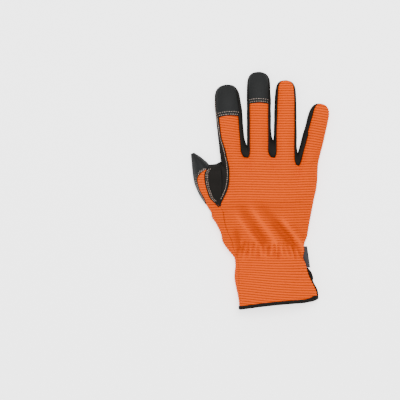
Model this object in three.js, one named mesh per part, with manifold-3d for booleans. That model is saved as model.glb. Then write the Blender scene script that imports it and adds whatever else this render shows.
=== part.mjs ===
// A right-hand mechanic's work glove, lying palm down with its back up.
// Orange ribbed knit covers the back of the hand and the cuff. The palm, the finger sides,
// the thumb and the fingertip caps are black synthetic leather.
// Millimetres. +X points to the little finger, +Y to the fingertips, +Z up. The origin is in
// the middle of the glove's footprint, on the surface that it lies on.
//
// The glove is drawn as one closed outer skin of four-sided patches that share their edges,
// the seams. Each piece of cloth takes its own patches, gets its thickness inwards, and is
// cut back a little along its seams, so that neighbouring pieces stay clear of each other.

import * as THREE from "three";
import { mergeVertices } from "three/addons/utils/BufferGeometryUtils.js";
import Module from "manifold-3d";

const wasm = await Module();
wasm.setup();

// Cloth
const clothThickness = 1.4;
const seamCutBack = 0.28;

// Patch divisions
const acrossFinger = 4;
const fingerCount = 4;
const acrossHand = acrossFinger * fingerCount;
const wallSteps = [0, 0.25, 0.5, 1];

// Heights of the lying glove
const palmLift = 1.5;
const rootHeight = 16.4;
const fingerCrown = 3.6;
const sideHeight = 0.45;

// The back wraps over the little-finger side from here to the palm seam
const wrapInset = 4;
const palmSeamInset = 2.5;

// Fingers: where each one's axis starts and ends, its widths, how far the back's seams lie
// in from its two sides, how far they do so along a cap, and its height
const fingers = table(
  "name tipX tipY baseX baseY tipWidth midWidth baseWidth seamLeft seamRight capLeft capRight height",
  [
    ["index", -35.6, 110.6, -29.3, 44, 24.5, 28, 26.5, 3.2, 4.4, 1.4, 2.8, 16.5],
    ["middle", -2, 122.4, -1.5, 44, 23.5, 25, 25, 2.8, 3, 1.4, 2.3, 17],
    ["ring", 25.8, 114.8, 25.4, 44, 20.5, 23, 24, 2.6, 2.4, 2.6, 2.4, 16.5],
    ["little", 63.3, 90.6, 49.3, 34.8, 20.5, 22.3, 23.5, 5, 3, 4, 2.6, 15],
  ],
);
const midFinger = 0.6;
const palmInset = 2;
const capLength = 31.5;
const capFlare = 0.07;
const plainHemStation = 0.62;

// Fingertips: the length that narrows, how far and how bluntly it does, how much its seams
// draw together, how far its end bulges, and how its back falls and its palm side rises
const tipRound = 12.5;
const tipNarrow = 0.93;
const tipBluntness = 2.5;
const tipSeamDraw = 0.6;
const tipArc = 1;
const tipSlope = 24;
const tipHeightShare = 0.62;
const tipCrownLoss = 0.35;
const tipPalmRise = 2.6;
const crownPower = 2.2;

// Stations along a finger, from the tip (1) to the crotch (0)
const tipStations = [1, 0.975, 0.93, 0.86, 0.76];
const shaftStations = [0.5, 0.34, 0.2, 0.1, 0.045, 0.015, 0];

// Roots between the fingers, from the thumb side to the little-finger side: where the back's
// seam turns, where the finger gap closes, and where the palm's seam turns
const roots = table("backX backY gapX gapY palmX palmY", [
  [-35, 33.8, -42.2, 40, -40.6, 44.1],
  [-13.9, 33.8, -13.9, 46.1, -13.9, 44.1],
  [13.4, 33.8, 12.9, 52.3, 12.9, 50.3],
  [38.7, 25.5, 38.2, 38.9, 38.2, 36.9],
  [56.2, 30, 61.4, 36, 59.3, 38],
]);
const crotchCurl = 9;
const outsideBlend = 25;
const rootShare = [0, 0.26, 0.5, 0.75, 1];

// Hand: edges seen from above, from the fingers to the hem
const backLeft = table("y x", [
  [33.8, -35], [27.6, -33.4], [19.4, -32.4], [7, -32.9], [-0.7, -35], [-8.4, -38.6], [-16.8, -42.2],
  [-21.8, -38.8], [-31.1, -37.5], [-41.4, -34.5], [-51.7, -29.8], [-61, -27.6], [-68.2, -24.7],
  [-76.4, -23.1], [-87.8, -22.6], [-102.2, -22.4], [-117.6, -20.6],
]);
const palmLeft = table("y x", [
  [44.1, -40.6], [30.2, -40.6], [16.3, -37.5], [2.9, -36], [-9.5, -35.5], [-18.7, -36.7], [-25.4, -39.1],
  [-31.7, -42.1], [-43, -33.4], [-53.8, -24.2], [-61, -18], [-67.2, -12.8], [-73.3, -13.3], [-118.7, -14.9],
]);
const sideLeft = table("y x", [
  [-15.1, -55.6], [-21.8, -52.5], [-30.1, -48.4], [-38.3, -43.7], [-46.6, -40.6], [-54.8, -38.6],
  [-58.9, -35.5], [-63, -30.8], [-67.2, -27.8], [-75.4, -26.2], [-87.8, -27.2], [-96, -26.2],
  [-104.2, -24.2], [-120.7, -21.6],
]);
const sideRight = table("y x", [
  [38, 61.9], [33.8, 60.9], [27.6, 59.7], [11.1, 58.8], [0.8, 57.7], [-9.5, 55.2], [-21.8, 52.6],
  [-34.2, 50.5], [-46.6, 48.5], [-54.8, 45.2], [-67.2, 44.3], [-75.4, 46.4], [-87.8, 50], [-96, 53.6],
  [-104.2, 57.2], [-115, 58.2],
]);
const hemY = { left: -118.4, right: -111.4, bend: 1.8 };
// The hem's corner at the vent rises by this much, over this power of the way across
const hemCorner = { rise: 5.5, acrossPower: 12, rowPower: 10 };

// Rows from the finger roots (0) to the hem (1)
const backRows = [
  0, 0.03, 0.06, 0.1, 0.16, 0.22, 0.28, 0.3342, 0.4, 0.46, 0.52,
  0.58, 0.63, 0.67, 0.7, 0.73, 0.76, 0.8, 0.86, 0.92, 1,
];
const palmRows = [
  0, 0.04, 0.0863, 0.13, 0.17, 0.23, 0.29, 0.35, 0.41, 0.47, 0.53,
  0.585, 0.64, 0.69, 0.73, 0.77, 0.8, 0.84, 0.89, 0.94, 1,
];
const webRow = 2;
const thumbEndRow = 7;
const thumbSeamRow = 9;
const cuffRow = 13;

// Heights of the back along the same rows: its thumb-side edge, its crown, its other edge
const backHeights = table("row left crown right", [
  [0, 12.5, 17.5, 11], [0.1, 13.5, 20, 11.5], [0.25, 15, 23, 12], [0.45, 15, 23, 12.5],
  [0.6, 13.5, 20, 11.5], [0.68, 12.5, 18, 11], [0.76, 13.5, 20, 12], [0.88, 15.5, 24, 14.5], [1, 17, 26, 16],
]);

// Folds across the back below the knuckles, from start to end; a valley is below zero
const folds = table("startX startY endX endY rise width", [
  [-20, -19, 6, -56, -1.6, 4],
  [-10, -20, 18, -56, 1.2, 4],
  [-1, -16, 38, -56, -1.8, 4.5],
  [21, -32, 42, -55, 1.2, 4],
]);
const foldEase = 0.15;
const archPower = 2.6;
const knuckleRow = 0.2;
const edgeCalm = 0.1;

// Gathers over the wrist elastic
const gathers = { count: 8, y: -65, halfHeight: 9, depth: 0.9 };
const ruffleRow = 0.5;

// Thumb outline from the tip down its outer side, and from the tip along its inner edge
const thumbOuter = table("x y rim", [
  [-71.1, 37.9, 4], [-70.9, 33.3, 4], [-70.6, 28.6, 4], [-70.3, 23.5, 4], [-69.9, 18.3, 4], [-69.3, 12.7, 4],
  [-67.9, 6.5, 4], [-65, -0.7, 4], [-62.3, -5.9, 4], [-58.9, -10.8, 4], [-55.6, -15.1, 4], [-48.9, -25.4, 3],
]);
const thumbInner = table("x y rim", [
  [-67.9, 39.1, 4], [-60.2, 34.1, 4], [-53, 27.4, 4], [-48.7, 27.7, 4], [-44.8, 28.4, 3.2],
]);
// Edge between the thumb cap and the orange strip, and the strip's edge along the web
const capHem = table("x y z", [
  [-54.7, 22.7, 11], [-60.7, 19.1, 12.3], [-64.8, 13.2, 12], [-64.3, 6.5, 12], [-62, -0.2, 12],
  [-59.2, -5.4, 11], [-56.9, -10, 8.5],
]);
const webEdge = table("x y z", [
  [-57.3, 18.8, 13], [-57.7, 12.7, 13.8], [-56.9, 6.5, 13.8], [-54.8, -0.7, 13.8],
  [-52, -7.9, 13.8], [-46.8, -13, 14.2],
]);
const capCrown = [1.5, 5, 7.5, 4.5, 3.5, 2, 1.2, 1, 1, 0.6, 0];
// Lower edge of the index side strip, along the web
const stripEdge = table("y x z", [
  [24, -40.8, 9.5], [15.2, -40, 10.3], [7, -40, 11], [-1.2, -40.4, 12], [-9.5, -41, 13.5], [-16.8, -42.2, 15],
]);
const webRowsY = [24, 20, 14.2, 7.5, 0.3, -6.5, -12];
const stripRowsY = [24, 13.2, 2.4, -8];
const stripWidest = { share: 0.9, outPerRow: 0.8 };
const stripCrown = 1.2;
// Under the thumb, the cloth lies flat but for its two rims
const underSteps = [0, 0.15, 0.5, 0.85, 1];
const underRimPower = 6;
const gussetSteps = [0, 0.25, 0.5, 0.75, 1];
const gussetWidest = { share: 0.6, height: 0.4 };

// Palm pads
const padThickness = 1.2;
const padGap = 0.4;
const padSideInset = 5;
const outerPad = table("x y", [
  [41.2, 24.1], [16, 24.4], [-3.6, 23.1], [-9.1, 20.3], [-12.5, 15.5], [-12.8, 9.3], [-11.2, 5.2],
  [-7.1, -0.4], [5.4, -15.6], [8.2, -19.7], [9.5, -25.2], [12.3, -39.7], [15.1, -43.5], [20.5, -45.9],
  [31, -47],
]);
const innerPad = table("x y", [
  [48.2, 10.7], [34.6, 11.8], [4.1, 11.7], [4.1, 9.3], [15.7, -2.5], [17.8, -7.3], [20.5, -19.7],
  [21.6, -26.6], [23.3, -29.7], [27.5, -31.4],
]);
const padEnds = { outerTop: 22.5, innerTop: 9, innerBottom: -32.1, outerBottom: -49 };

// Hem tape, vent tape and side tab
const hemTape = { width: 4, proud: 0.9, inside: 0.54, gap: 0.3, round: 0.8, shoulder: 0.24 };
const vent = {
  start: 0.69, run: 0.08, height: 8, edgePower: 9, firstRow: 16,
  tapeWidth: 3.4, tapeThickness: 1.2, clearance: 0.35, lean: 0.1,
  knotY: -84.5, knotLength: 6, knotRise: 1.5, tail: 2.8, tailDraw: 0.6,
};
// The tab's outer edge runs straight from its top to its bottom
const sideTab = {
  topX: 48, topY: -58.5, bottomX: 51.2, bottomY: -79, level: 6.2, thickness: 1.8, round: 0.5,
  clearance: 0.35, steps: 8,
};

const colours = {
  orange: 0xe8702a,
  black: 0x232526,
  capBlack: 0x323434,
  binding: 0x1c1c1d,
  tab: 0x4a4b4d,
};
const roughness = { knit: 0.9, leather: 0.62, cap: 0.55, tape: 0.8 };

function table(columns, rows) {
  const names = columns.split(" ");
  return rows.map((row) => Object.fromEntries(names.map((name, i) => [name, row[i]])));
}

function mix(a, b, t) {
  return a + (b - a) * t;
}

function mixPoint(a, b, t) {
  return [mix(a[0], b[0], t), mix(a[1], b[1], t), mix(a[2], b[2], t)];
}

function clamp01(t) {
  return Math.min(Math.max(t, 0), 1);
}

function smooth(t) {
  const s = clamp01(t);
  return s * s * (3 - 2 * s);
}

// A column of a table as a smooth function of another column, by cubic pieces
function along(rows, key, column, value) {
  const direction = rows[1][key] > rows[0][key] ? 1 : -1;
  let i = 0;
  while (i < rows.length - 2 && direction * (value - rows[i + 1][key]) > 0) i += 1;
  const slope = (k) => {
    const before = rows[Math.max(k - 1, 0)];
    const after = rows[Math.min(k + 1, rows.length - 1)];
    return (after[column] - before[column]) / (after[key] - before[key]);
  };
  const a = rows[i];
  const b = rows[i + 1];
  const step = b[key] - a[key];
  const t = clamp01((value - a[key]) / step);
  const t2 = t * t;
  const t3 = t2 * t;
  const ends = (2 * t3 - 3 * t2 + 1) * a[column] + (3 * t2 - 2 * t3) * b[column];
  return ends + ((t3 - 2 * t2 + t) * slope(i) + (t3 - t2) * slope(i + 1)) * step;
}

// The skin: patches are grids of points, and each belongs to one piece. Rows run from the
// fingertips to the hem, and columns run over the back from the thumb side to the other
// side, down, and back under the palm, so that every face points out.
const patches = [];

function addPatch(piece, grid) {
  patches.push({ piece, grid });
}

// A side wall's section: a quarter arc from the upper seam out to the widest line, and one
// from there in to the lower seam
function wallSection(upper, widest, lower, steps = wallSteps) {
  return steps.map((t) => {
    if (t <= 0.5) {
      const angle = t * Math.PI;
      const out = Math.sin(angle);
      return [
        mix(upper[0], widest[0], out),
        mix(upper[1], widest[1], out),
        mix(widest[2], upper[2], Math.cos(angle)),
      ];
    }
    const angle = (t - 0.5) * Math.PI;
    const back = 1 - Math.cos(angle);
    return [
      mix(widest[0], lower[0], back),
      mix(widest[1], lower[1], back),
      mix(widest[2], lower[2], Math.sin(angle)),
    ];
  });
}

// Fingers
const rootColumns = {
  back: ["backX", "backY"],
  side: ["gapX", "gapY"],
  palm: ["palmX", "palmY"],
};

function fingerWidth(finger, share) {
  if (share < midFinger) return mix(finger.baseWidth, finger.midWidth, Math.max(share, 0) / midFinger);
  return mix(finger.midWidth, finger.tipWidth, smooth((share - midFinger) / (1 - midFinger)));
}

// How far a layer's edge lies in from the finger's side: less along a cap and at the tip
function seamInset(finger, layer, side, station, toTip) {
  if (layer === "side") return 0;
  const draw = 1 - tipSeamDraw * toTip;
  if (layer === "palm") return palmInset * draw;
  const cap = smooth((station - hemStation(finger)) / capFlare);
  const [seam, capSeam] = side < 0 ? [finger.seamLeft, finger.capLeft] : [finger.seamRight, finger.capRight];
  return mix(seam, capSeam, cap) * mix(draw, 1, cap / 2);
}

// A point of one layer of a finger: back (the upper seam line and what it encloses), side
// (the widest line) or palm (the lower seam line). Station 1 is the tip and 0 the root.
function fingerPoint(index, layer, station, u) {
  const finger = fingers[index];
  const axisLength = Math.hypot(finger.tipX - finger.baseX, finger.tipY - finger.baseY);
  const axis = [(finger.tipX - finger.baseX) / axisLength, (finger.tipY - finger.baseY) / axisLength];
  const tipAlong = axisLength - tipArc;
  const edge = (side) => {
    const root = roots[side < 0 ? index : index + 1];
    const [columnX, columnY] = rootColumns[layer];
    const rootX = root[columnX] - finger.baseX;
    const rootY = root[columnY] - finger.baseY;
    const rootAlong = rootX * axis[0] + rootY * axis[1];
    const rootAcross = rootX * axis[1] - rootY * axis[0];
    const far = mix(rootAlong, tipAlong, station);
    const toTip = clamp01((far - (tipAlong - tipRound)) / tipRound);
    const inset = seamInset(finger, layer, side, station, toTip);
    const narrowing = (1 - (tipNarrow * toTip) ** tipBluntness) ** (1 / tipBluntness);
    const straight = (distance) =>
      side * (fingerWidth(finger, distance / tipAlong) / 2 - inset) * narrowing;
    const outside = root === roots[0] || root === roots[fingerCount];
    const curl = layer === "back" ? crotchCurl : crotchCurl / 2;
    const t = clamp01((far - rootAlong) / (outside ? outsideBlend : curl));
    const pull = outside ? 1 - smooth(t) : 1 - Math.sqrt(Math.max(1 - (1 - t) ** 2, 0));
    const across = straight(far) + (rootAcross - straight(rootAlong)) * pull;
    return { far, across };
  };
  const left = edge(-1);
  const right = edge(1);
  const far = mix(left.far, right.far, u) + tipArc * station ** 12 * (1 - (2 * u - 1) ** 2);
  const across = mix(left.across, right.across, u);
  return [
    finger.baseX + axis[0] * far + axis[1] * across,
    finger.baseY + axis[1] * far - axis[0] * across,
    fingerZ(finger, layer, station, (far - (tipAlong - tipSlope)) / tipSlope, u),
  ];
}

function fingerZ(finger, layer, station, slopeShare, u) {
  const tipShare = clamp01(slopeShare);
  const height = mix(rootHeight, finger.height, smooth(station / 0.2));
  const crown = mix(height, height * tipHeightShare, tipShare ** 2);
  const drop = fingerCrown * (1 - tipCrownLoss * tipShare);
  const floor = tipPalmRise * tipShare ** 3;
  const seam = crown - drop;
  if (layer === "palm") return floor;
  if (layer === "side") return mix(floor, seam, sideHeight);
  return seam + drop * (1 - Math.abs(2 * u - 1) ** crownPower);
}

const fingerColumns = Array.from({ length: acrossFinger + 1 }, (_, i) => i / acrossFinger);

// Where a cap's hem lies along its finger
function hemStation(finger) {
  const index = fingers.indexOf(finger);
  const reach = finger.tipY - (roots[index].backY + roots[index + 1].backY) / 2;
  return 1 - capLength / reach;
}

function fingerStations(index, capped) {
  return [...tipStations, capped ? hemStation(fingers[index]) : plainHemStation, ...shaftStations];
}

function fingerWall(index, side, station, u) {
  const section = ["back", "side", "palm"].map((layer) => fingerPoint(index, layer, station, u));
  const points = wallSection(...section);
  return side < 0 ? points.reverse() : points;
}

function addFinger(index, pieces) {
  const stations = fingerStations(index, Boolean(pieces.cap));
  const grid = (layer, list, columns) =>
    list.map((station) => columns.map((u) => fingerPoint(index, layer, station, u)));
  if (pieces.cap) {
    addPatch(pieces.cap, grid("back", stations.slice(0, tipStations.length + 1), fingerColumns));
    addPatch("back_panel", grid("back", stations.slice(tipStations.length), fingerColumns));
  } else {
    addPatch("back_panel", grid("back", stations, fingerColumns));
  }
  addPatch("palm_panel", grid("palm", stations, [...fingerColumns].reverse()));
  addPatch(pieces.left, stations.map((station) => fingerWall(index, -1, station, 0)));
  addPatch(pieces.right, stations.map((station) => fingerWall(index, 1, station, 1)));
  const middle = acrossFinger / 2 + 1;
  const tipWall = (columns) => columns.map((u) => fingerWall(index, 1, 1, u));
  addPatch(pieces.left, tipWall(fingerColumns.slice(0, middle)));
  addPatch(pieces.right, tipWall(fingerColumns.slice(middle - 1)));
}

// Hand: the lines from the finger roots down to the hem, on the back and on the palm
function foldRise(x, y) {
  return folds.reduce((sum, fold) => {
    const runX = fold.endX - fold.startX;
    const runY = fold.endY - fold.startY;
    const length = Math.hypot(runX, runY);
    const share = ((x - fold.startX) * runX + (y - fold.startY) * runY) / length ** 2;
    const away = ((x - fold.startX) * runY - (y - fold.startY) * runX) / length;
    const reach = 2 * foldEase;
    const ends = smooth((share + foldEase) / reach) * smooth((1 + foldEase - share) / reach);
    return sum + fold.rise * Math.exp(-((away / fold.width) ** 2)) * ends;
  }, 0);
}

function gatherRise(across, y) {
  const wave = Math.cos(2 * Math.PI * gathers.count * across);
  return gathers.depth * wave * Math.exp(-(((y - gathers.y) / gathers.halfHeight) ** 2));
}

// The hem falls away towards the thumb side, more steeply the nearer it comes
function hemLine(share) {
  return mix(hemY.right, hemY.left, (1 - share) ** hemY.bend);
}

function ventShare(row) {
  return smooth((row - vent.start) / vent.run);
}

function cornerRise(across, row) {
  return hemCorner.rise * across ** hemCorner.acrossPower * row ** hemCorner.rowPower;
}

function rootLine(layer, k, row) {
  const [columnX, columnY] = rootColumns[layer];
  const share = rootShare[k];
  const fade = (1 - row) ** 2;
  const rootY = mix(roots[0][columnY], roots[fingerCount][columnY], share);
  const y = mix(rootY, hemLine(share), row) + (roots[k][columnY] - rootY) * fade;
  const [edge, inset] = layer === "back" ? [backLeft, wrapInset] : [palmLeft, palmSeamInset];
  const kept = layer === "palm" ? 1 - ventShare(row) : 1;
  const x = (level) => {
    const right = along(sideRight, "y", "x", level) - inset * kept;
    return mix(along(edge, "y", "x", level), right, share);
  };
  const start = k === 0 || k === fingerCount ? 0 : roots[k][columnX] - x(roots[k][columnY]);
  return [x(y) + start * fade, y];
}

function backPoint(column, row) {
  const finger = Math.min(Math.floor(column / acrossFinger), fingerCount - 1);
  const u = column / acrossFinger - finger;
  if (row === 0) return fingerPoint(finger, "back", 0, u);
  const left = rootLine("back", finger, row);
  const right = rootLine("back", finger + 1, row);
  const x = mix(left[0], right[0], u);
  const across = column / acrossHand;
  const y = mix(left[1], right[1], u) + cornerRise(across, row);
  const height = (name) => along(backHeights, "row", name, row);
  const edge = mix(height("left"), height("right"), across);
  const arch = edge + (height("crown") - edge) * (1 - Math.abs(2 * across - 1) ** archPower);
  const inside = smooth(across / edgeCalm) * smooth((1 - across) / edgeCalm);
  const knuckles = smooth(row / knuckleRow);
  const z = mix(fingerPoint(finger, "back", 0, u)[2], arch, knuckles);
  return [x, y, z + (foldRise(x, y) + gatherRise(across, y)) * inside * knuckles];
}

function palmPoint(column, row) {
  const finger = Math.min(Math.floor(column / acrossFinger), fingerCount - 1);
  const u = column / acrossFinger - finger;
  if (row === 0) return fingerPoint(finger, "palm", 0, u);
  const left = rootLine("palm", finger, row);
  const right = rootLine("palm", finger + 1, row);
  const across = column / acrossHand;
  const y = mix(left[1], right[1], u) + cornerRise(across, row);
  const rise = ventShare(row) * across ** vent.edgePower;
  const lift = palmLift * smooth(row / edgeCalm) + (vent.height - palmLift) * rise;
  const ruffle = row > ruffleRow ? Math.max(gatherRise(across, y), 0) : 0;
  return [mix(left[0], right[0], u), y, lift + ruffle * (1 - ventShare(row) * across)];
}

const handColumns = Array.from({ length: acrossHand + 1 }, (_, i) => i);

function backEdge(column) {
  return backRows.map((row) => backPoint(column, row));
}

function palmEdge(column) {
  return palmRows.map((row) => palmPoint(column, row));
}

function addHand() {
  addPatch("back_panel", backRows.map((row) => handColumns.map((column) => backPoint(column, row))));
  const under = palmRows.map((row) => [...handColumns].reverse().map((column) => palmPoint(column, row)));
  addPatch("palm_panel", under.slice(0, cuffRow + 1));
  addPatch("palm_cuff", under.slice(cuffRow));
  const upper = backEdge(acrossHand);
  const lower = palmEdge(acrossHand);
  const wrap = upper.map((top, i) => {
    if (i === 0) return fingerWall(fingerCount - 1, 1, 0, 1);
    const y = mix(top[1], lower[i][1], 0.5);
    const widest = [along(sideRight, "y", "x", y), y, mix(lower[i][2], top[2], sideHeight)];
    return wallSection(top, widest, lower[i]);
  });
  addPatch("back_panel", wrap);
}

// Index side strip below the finger, thumb, web and gusset
function points(rows, zColumn) {
  return rows.map((row) => [row.x, row.y, row[zColumn]]);
}

function ruled(left, right, count, crown = () => 0) {
  return left.map((start, i) =>
    Array.from({ length: count + 1 }, (_, k) => {
      const u = k / count;
      const point = mixPoint(start, right[i], u);
      point[2] += crown(i, u);
      return point;
    }),
  );
}

function addThumbSide() {
  const upper = backEdge(0);
  const lower = palmEdge(0);
  const stripLine = (y) => [along(stripEdge, "y", "x", y), y, along(stripEdge, "y", "z", y)];
  const end = upper[thumbEndRow];

  const strip = [fingerWall(0, -1, 0, 0)];
  for (let i = 1; i <= webRow; i += 1) {
    const y = mix(upper[i][1], lower[i][1], stripWidest.share);
    const x = lower[i][0] - stripWidest.outPerRow * (webRow - i);
    const widest = [x, y, mix(lower[i][2], upper[i][2], sideHeight)];
    strip.push(wallSection(upper[i], widest, lower[i]).reverse());
  }
  const web = [...stripRowsY.map(stripLine), end];
  web.forEach((low, i) => {
    const high = upper[webRow + 1 + i];
    strip.push(wallSteps.map((_, k) => mixPoint(low, high, k / (wallSteps.length - 1))));
  });
  addPatch("index_side_strip", strip);

  const outer = points(thumbOuter, "rim");
  const inner = points(thumbInner, "rim");
  const hem = points(capHem, "z");
  const edge = [hem[0], ...points(webEdge, "z"), end];
  const lastOuter = outer[outer.length - 2];
  const capRight = [...inner.slice(0, 3), ...hem, lastOuter];
  const capLeft = outer.slice(0, capRight.length);
  addPatch("thumb_cap", ruled(capLeft, capRight, 4, (i, u) => capCrown[i] * (1 - (2 * u - 1) ** 2)));
  const crown = (i, u) => (i < hem.length ? stripCrown * (1 - (2 * u - 1) ** 2) : 0);
  addPatch("thumb_back", ruled([...hem, lastOuter], edge, gussetSteps.length - 1, crown));

  const webTop = [...inner.slice(2), lower[webRow]];
  const webLeft = edge;
  const webRight = [...webRowsY.map(stripLine), end];
  const webGrid = ruled(webLeft, webRight, webTop.length - 1);
  addPatch("thumb_palm", [webTop, ...webGrid]);

  const seam = lower.slice(webRow, thumbSeamRow + 1);
  const underRight = [...inner, ...seam];
  const underLeft = [...outer, lower[thumbSeamRow]];
  const under = underLeft.map((left, i) => {
    const right = underRight[i];
    return underSteps.map((u) => {
      const point = mixPoint(left, right, u);
      point[2] = left[2] * (1 - u) ** underRimPower + right[2] * u ** underRimPower;
      return point;
    }).reverse();
  });
  addPatch("thumb_palm", under);

  const gussetUpper = upper.slice(thumbEndRow);
  const gussetLower = [...outer.slice(-2), ...lower.slice(thumbSeamRow)];
  const gusset = gussetUpper.map((top, i) => {
    const low = gussetLower[i];
    if (i === 0) return gussetSteps.map((_, k) => mixPoint(low, top, k / (gussetSteps.length - 1)));
    const y = mix(top[1], low[1], gussetWidest.share);
    const widest = [along(sideLeft, "y", "x", y), y, mix(low[2], top[2], gussetWidest.height)];
    return wallSection(top, widest, low, gussetSteps).reverse();
  });
  addPatch("thumb_back", gusset);
}

// Turning the skin into pieces of cloth
function weldSkin() {
  const vertices = [];
  const index = new Map();
  const triangles = [];
  const find = (point) => {
    const key = point.map((value) => Math.round(value * 1000)).join(" ");
    if (!index.has(key)) {
      index.set(key, vertices.length);
      vertices.push(new THREE.Vector3(...point));
    }
    return index.get(key);
  };
  const addTriangle = (piece, a, b, c) => {
    if (a !== b && b !== c && a !== c) triangles.push({ piece, corners: [a, b, c] });
  };
  patches.forEach(({ piece, grid }) => {
    const ids = grid.map((row) => row.map(find));
    for (let r = 0; r + 1 < ids.length; r += 1) {
      for (let c = 0; c + 1 < ids[r].length; c += 1) {
        addTriangle(piece, ids[r][c], ids[r + 1][c], ids[r + 1][c + 1]);
        addTriangle(piece, ids[r][c], ids[r + 1][c + 1], ids[r][c + 1]);
      }
    }
  });
  return { vertices, triangles };
}

function faceNormal(vertices, corners) {
  const [a, b, c] = corners.map((id) => vertices[id]);
  return b.clone().sub(a).cross(c.clone().sub(a));
}

function cornerNormals(vertices, triangles) {
  const normals = vertices.map(() => new THREE.Vector3());
  triangles.forEach(({ corners }) => {
    const normal = faceNormal(vertices, corners).normalize();
    corners.forEach((id, i) => {
      const toNext = vertices[corners[(i + 1) % 3]].clone().sub(vertices[id]);
      const toLast = vertices[corners[(i + 2) % 3]].clone().sub(vertices[id]);
      normals[id].addScaledVector(normal, toNext.angleTo(toLast));
    });
  });
  return normals.map((normal) => normal.normalize());
}

// The edges that a piece doesn't share with itself, each with its direction into the cloth
function openEdges(vertices, triangles) {
  const used = new Map();
  triangles.forEach(({ corners }) => {
    corners.forEach((from, i) => {
      const to = corners[(i + 1) % 3];
      used.set(`${from} ${to}`, { from, to, corners });
    });
  });
  const open = [...used.values()].filter(({ from, to }) => !used.has(`${to} ${from}`));
  open.forEach((edge) => {
    const line = vertices[edge.to].clone().sub(vertices[edge.from]);
    edge.inward = faceNormal(vertices, edge.corners).cross(line).normalize();
  });
  return open;
}

function clothGeometry(vertices, normals, triangles) {
  const open = openEdges(vertices, triangles);
  const shift = new Map();
  open.forEach(({ from, to, inward }) => {
    [from, to].forEach((id) => {
      if (!shift.has(id)) shift.set(id, []);
      shift.get(id).push(inward);
    });
  });
  const ids = [...new Set(triangles.flatMap(({ corners }) => corners))];
  const local = new Map(ids.map((id, i) => [id, i]));
  const outer = ids.map((id) => {
    const point = vertices[id].clone();
    const directions = shift.get(id);
    if (directions) {
      const sum = directions.reduce((total, part) => total.add(part), new THREE.Vector3());
      const spread = Math.max(sum.length() / directions.length, 0.2);
      point.addScaledVector(sum.normalize(), seamCutBack / spread);
    }
    return point;
  });
  const inner = ids.map((id, i) => outer[i].clone().addScaledVector(normals[id], -clothThickness));
  const count = ids.length;
  const indices = [];
  triangles.forEach(({ corners }) => {
    const [a, b, c] = corners.map((id) => local.get(id));
    indices.push(a, b, c, c + count, b + count, a + count);
  });
  open.forEach(({ from, to }) => {
    const a = local.get(from);
    const b = local.get(to);
    // Both pieces at a seam split this edge wall along the same diagonal
    if (from < to) indices.push(b, a, b + count, a, a + count, b + count);
    else indices.push(b, a, a + count, b, a + count, b + count);
  });
  return buildGeometry([...outer, ...inner], indices);
}

function buildGeometry(vertices, indices) {
  const geometry = new THREE.BufferGeometry();
  const positions = vertices.flatMap((point) => [point.x, point.y, point.z]);
  geometry.setAttribute("position", new THREE.Float32BufferAttribute(positions, 3));
  geometry.setIndex(indices);
  geometry.computeVertexNormals();
  return geometry;
}

// Pads: flat extruded patches under the palm
function padEdgeX(y) {
  return along(sideRight, "y", "x", y) - padSideInset;
}

function offsetOutline(rows, amount) {
  return rows.map((row, i) => {
    const before = rows[Math.max(i - 1, 0)];
    const after = rows[Math.min(i + 1, rows.length - 1)];
    const length = Math.hypot(after.x - before.x, after.y - before.y);
    return {
      x: row.x + (amount * (after.y - before.y)) / length,
      y: row.y + (amount * (before.x - after.x)) / length,
    };
  });
}

function extrudedPad(outline) {
  const shape = new THREE.Shape(outline.map(({ x, y }) => new THREE.Vector2(x, y)));
  return new THREE.ExtrudeGeometry(shape, { depth: padThickness, bevelEnabled: false });
}

function padSide(y) {
  return { x: padEdgeX(y), y };
}

function outerPadGeometry() {
  const { outerTop, outerBottom, innerTop, innerBottom } = padEnds;
  const hole = offsetOutline(innerPad, padGap).reverse();
  return extrudedPad([
    padSide(outerTop), ...outerPad, padSide(outerBottom), padSide(innerBottom - padGap), ...hole,
    padSide(innerTop + padGap),
  ]);
}

function innerPadGeometry() {
  const { innerTop, innerBottom } = padEnds;
  return extrudedPad([padSide(innerTop), ...innerPad, padSide(innerBottom)]);
}

// Hem tape: a band round the mouth, and the tape that runs up the vent from it
function toSolid(geometry) {
  const bare = geometry.clone();
  bare.deleteAttribute("normal");
  bare.deleteAttribute("uv");
  const merged = mergeVertices(bare, 1e-4);
  const mesh = new wasm.Mesh({
    numProp: 3,
    vertProperties: new Float32Array(merged.getAttribute("position").array),
    triVerts: new Uint32Array(merged.getIndex().array),
  });
  return new wasm.Manifold(mesh);
}

function fromSolid(solid) {
  const mesh = solid.getMesh();
  const geometry = new THREE.BufferGeometry();
  geometry.setAttribute("position", new THREE.BufferAttribute(new Float32Array(mesh.vertProperties), 3));
  geometry.setIndex(new THREE.BufferAttribute(new Uint32Array(mesh.triVerts), 1));
  geometry.computeVertexNormals();
  return geometry;
}

function signedVolume(vertices, indices) {
  let sum = 0;
  for (let i = 0; i < indices.length; i += 3) {
    const [a, b, c] = [0, 1, 2].map((k) => vertices[indices[i + k]]);
    sum += a.dot(b.clone().cross(c)) / 6;
  }
  return sum;
}

// A row of sections, each a loop of points, joined end to end into a ring or capped
function ringGeometry(sections, closed) {
  const size = sections[0].length;
  const indices = [];
  const last = closed ? sections.length : sections.length - 1;
  for (let r = 0; r < last; r += 1) {
    const next = (r + 1) % sections.length;
    for (let c = 0; c < size; c += 1) {
      const side = (c + 1) % size;
      const [a, b] = [r * size + c, next * size + c];
      const [d, e] = [r * size + side, next * size + side];
      indices.push(a, b, e, a, e, d);
    }
  }
  if (!closed) {
    const end = (sections.length - 1) * size;
    for (let c = 1; c + 1 < size; c += 1) {
      indices.push(0, c, c + 1, end, end + c + 1, end + c);
    }
  }
  const vertices = sections.flat();
  return buildGeometry(vertices, signedVolume(vertices, indices) < 0 ? indices.reverse() : indices);
}

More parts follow.
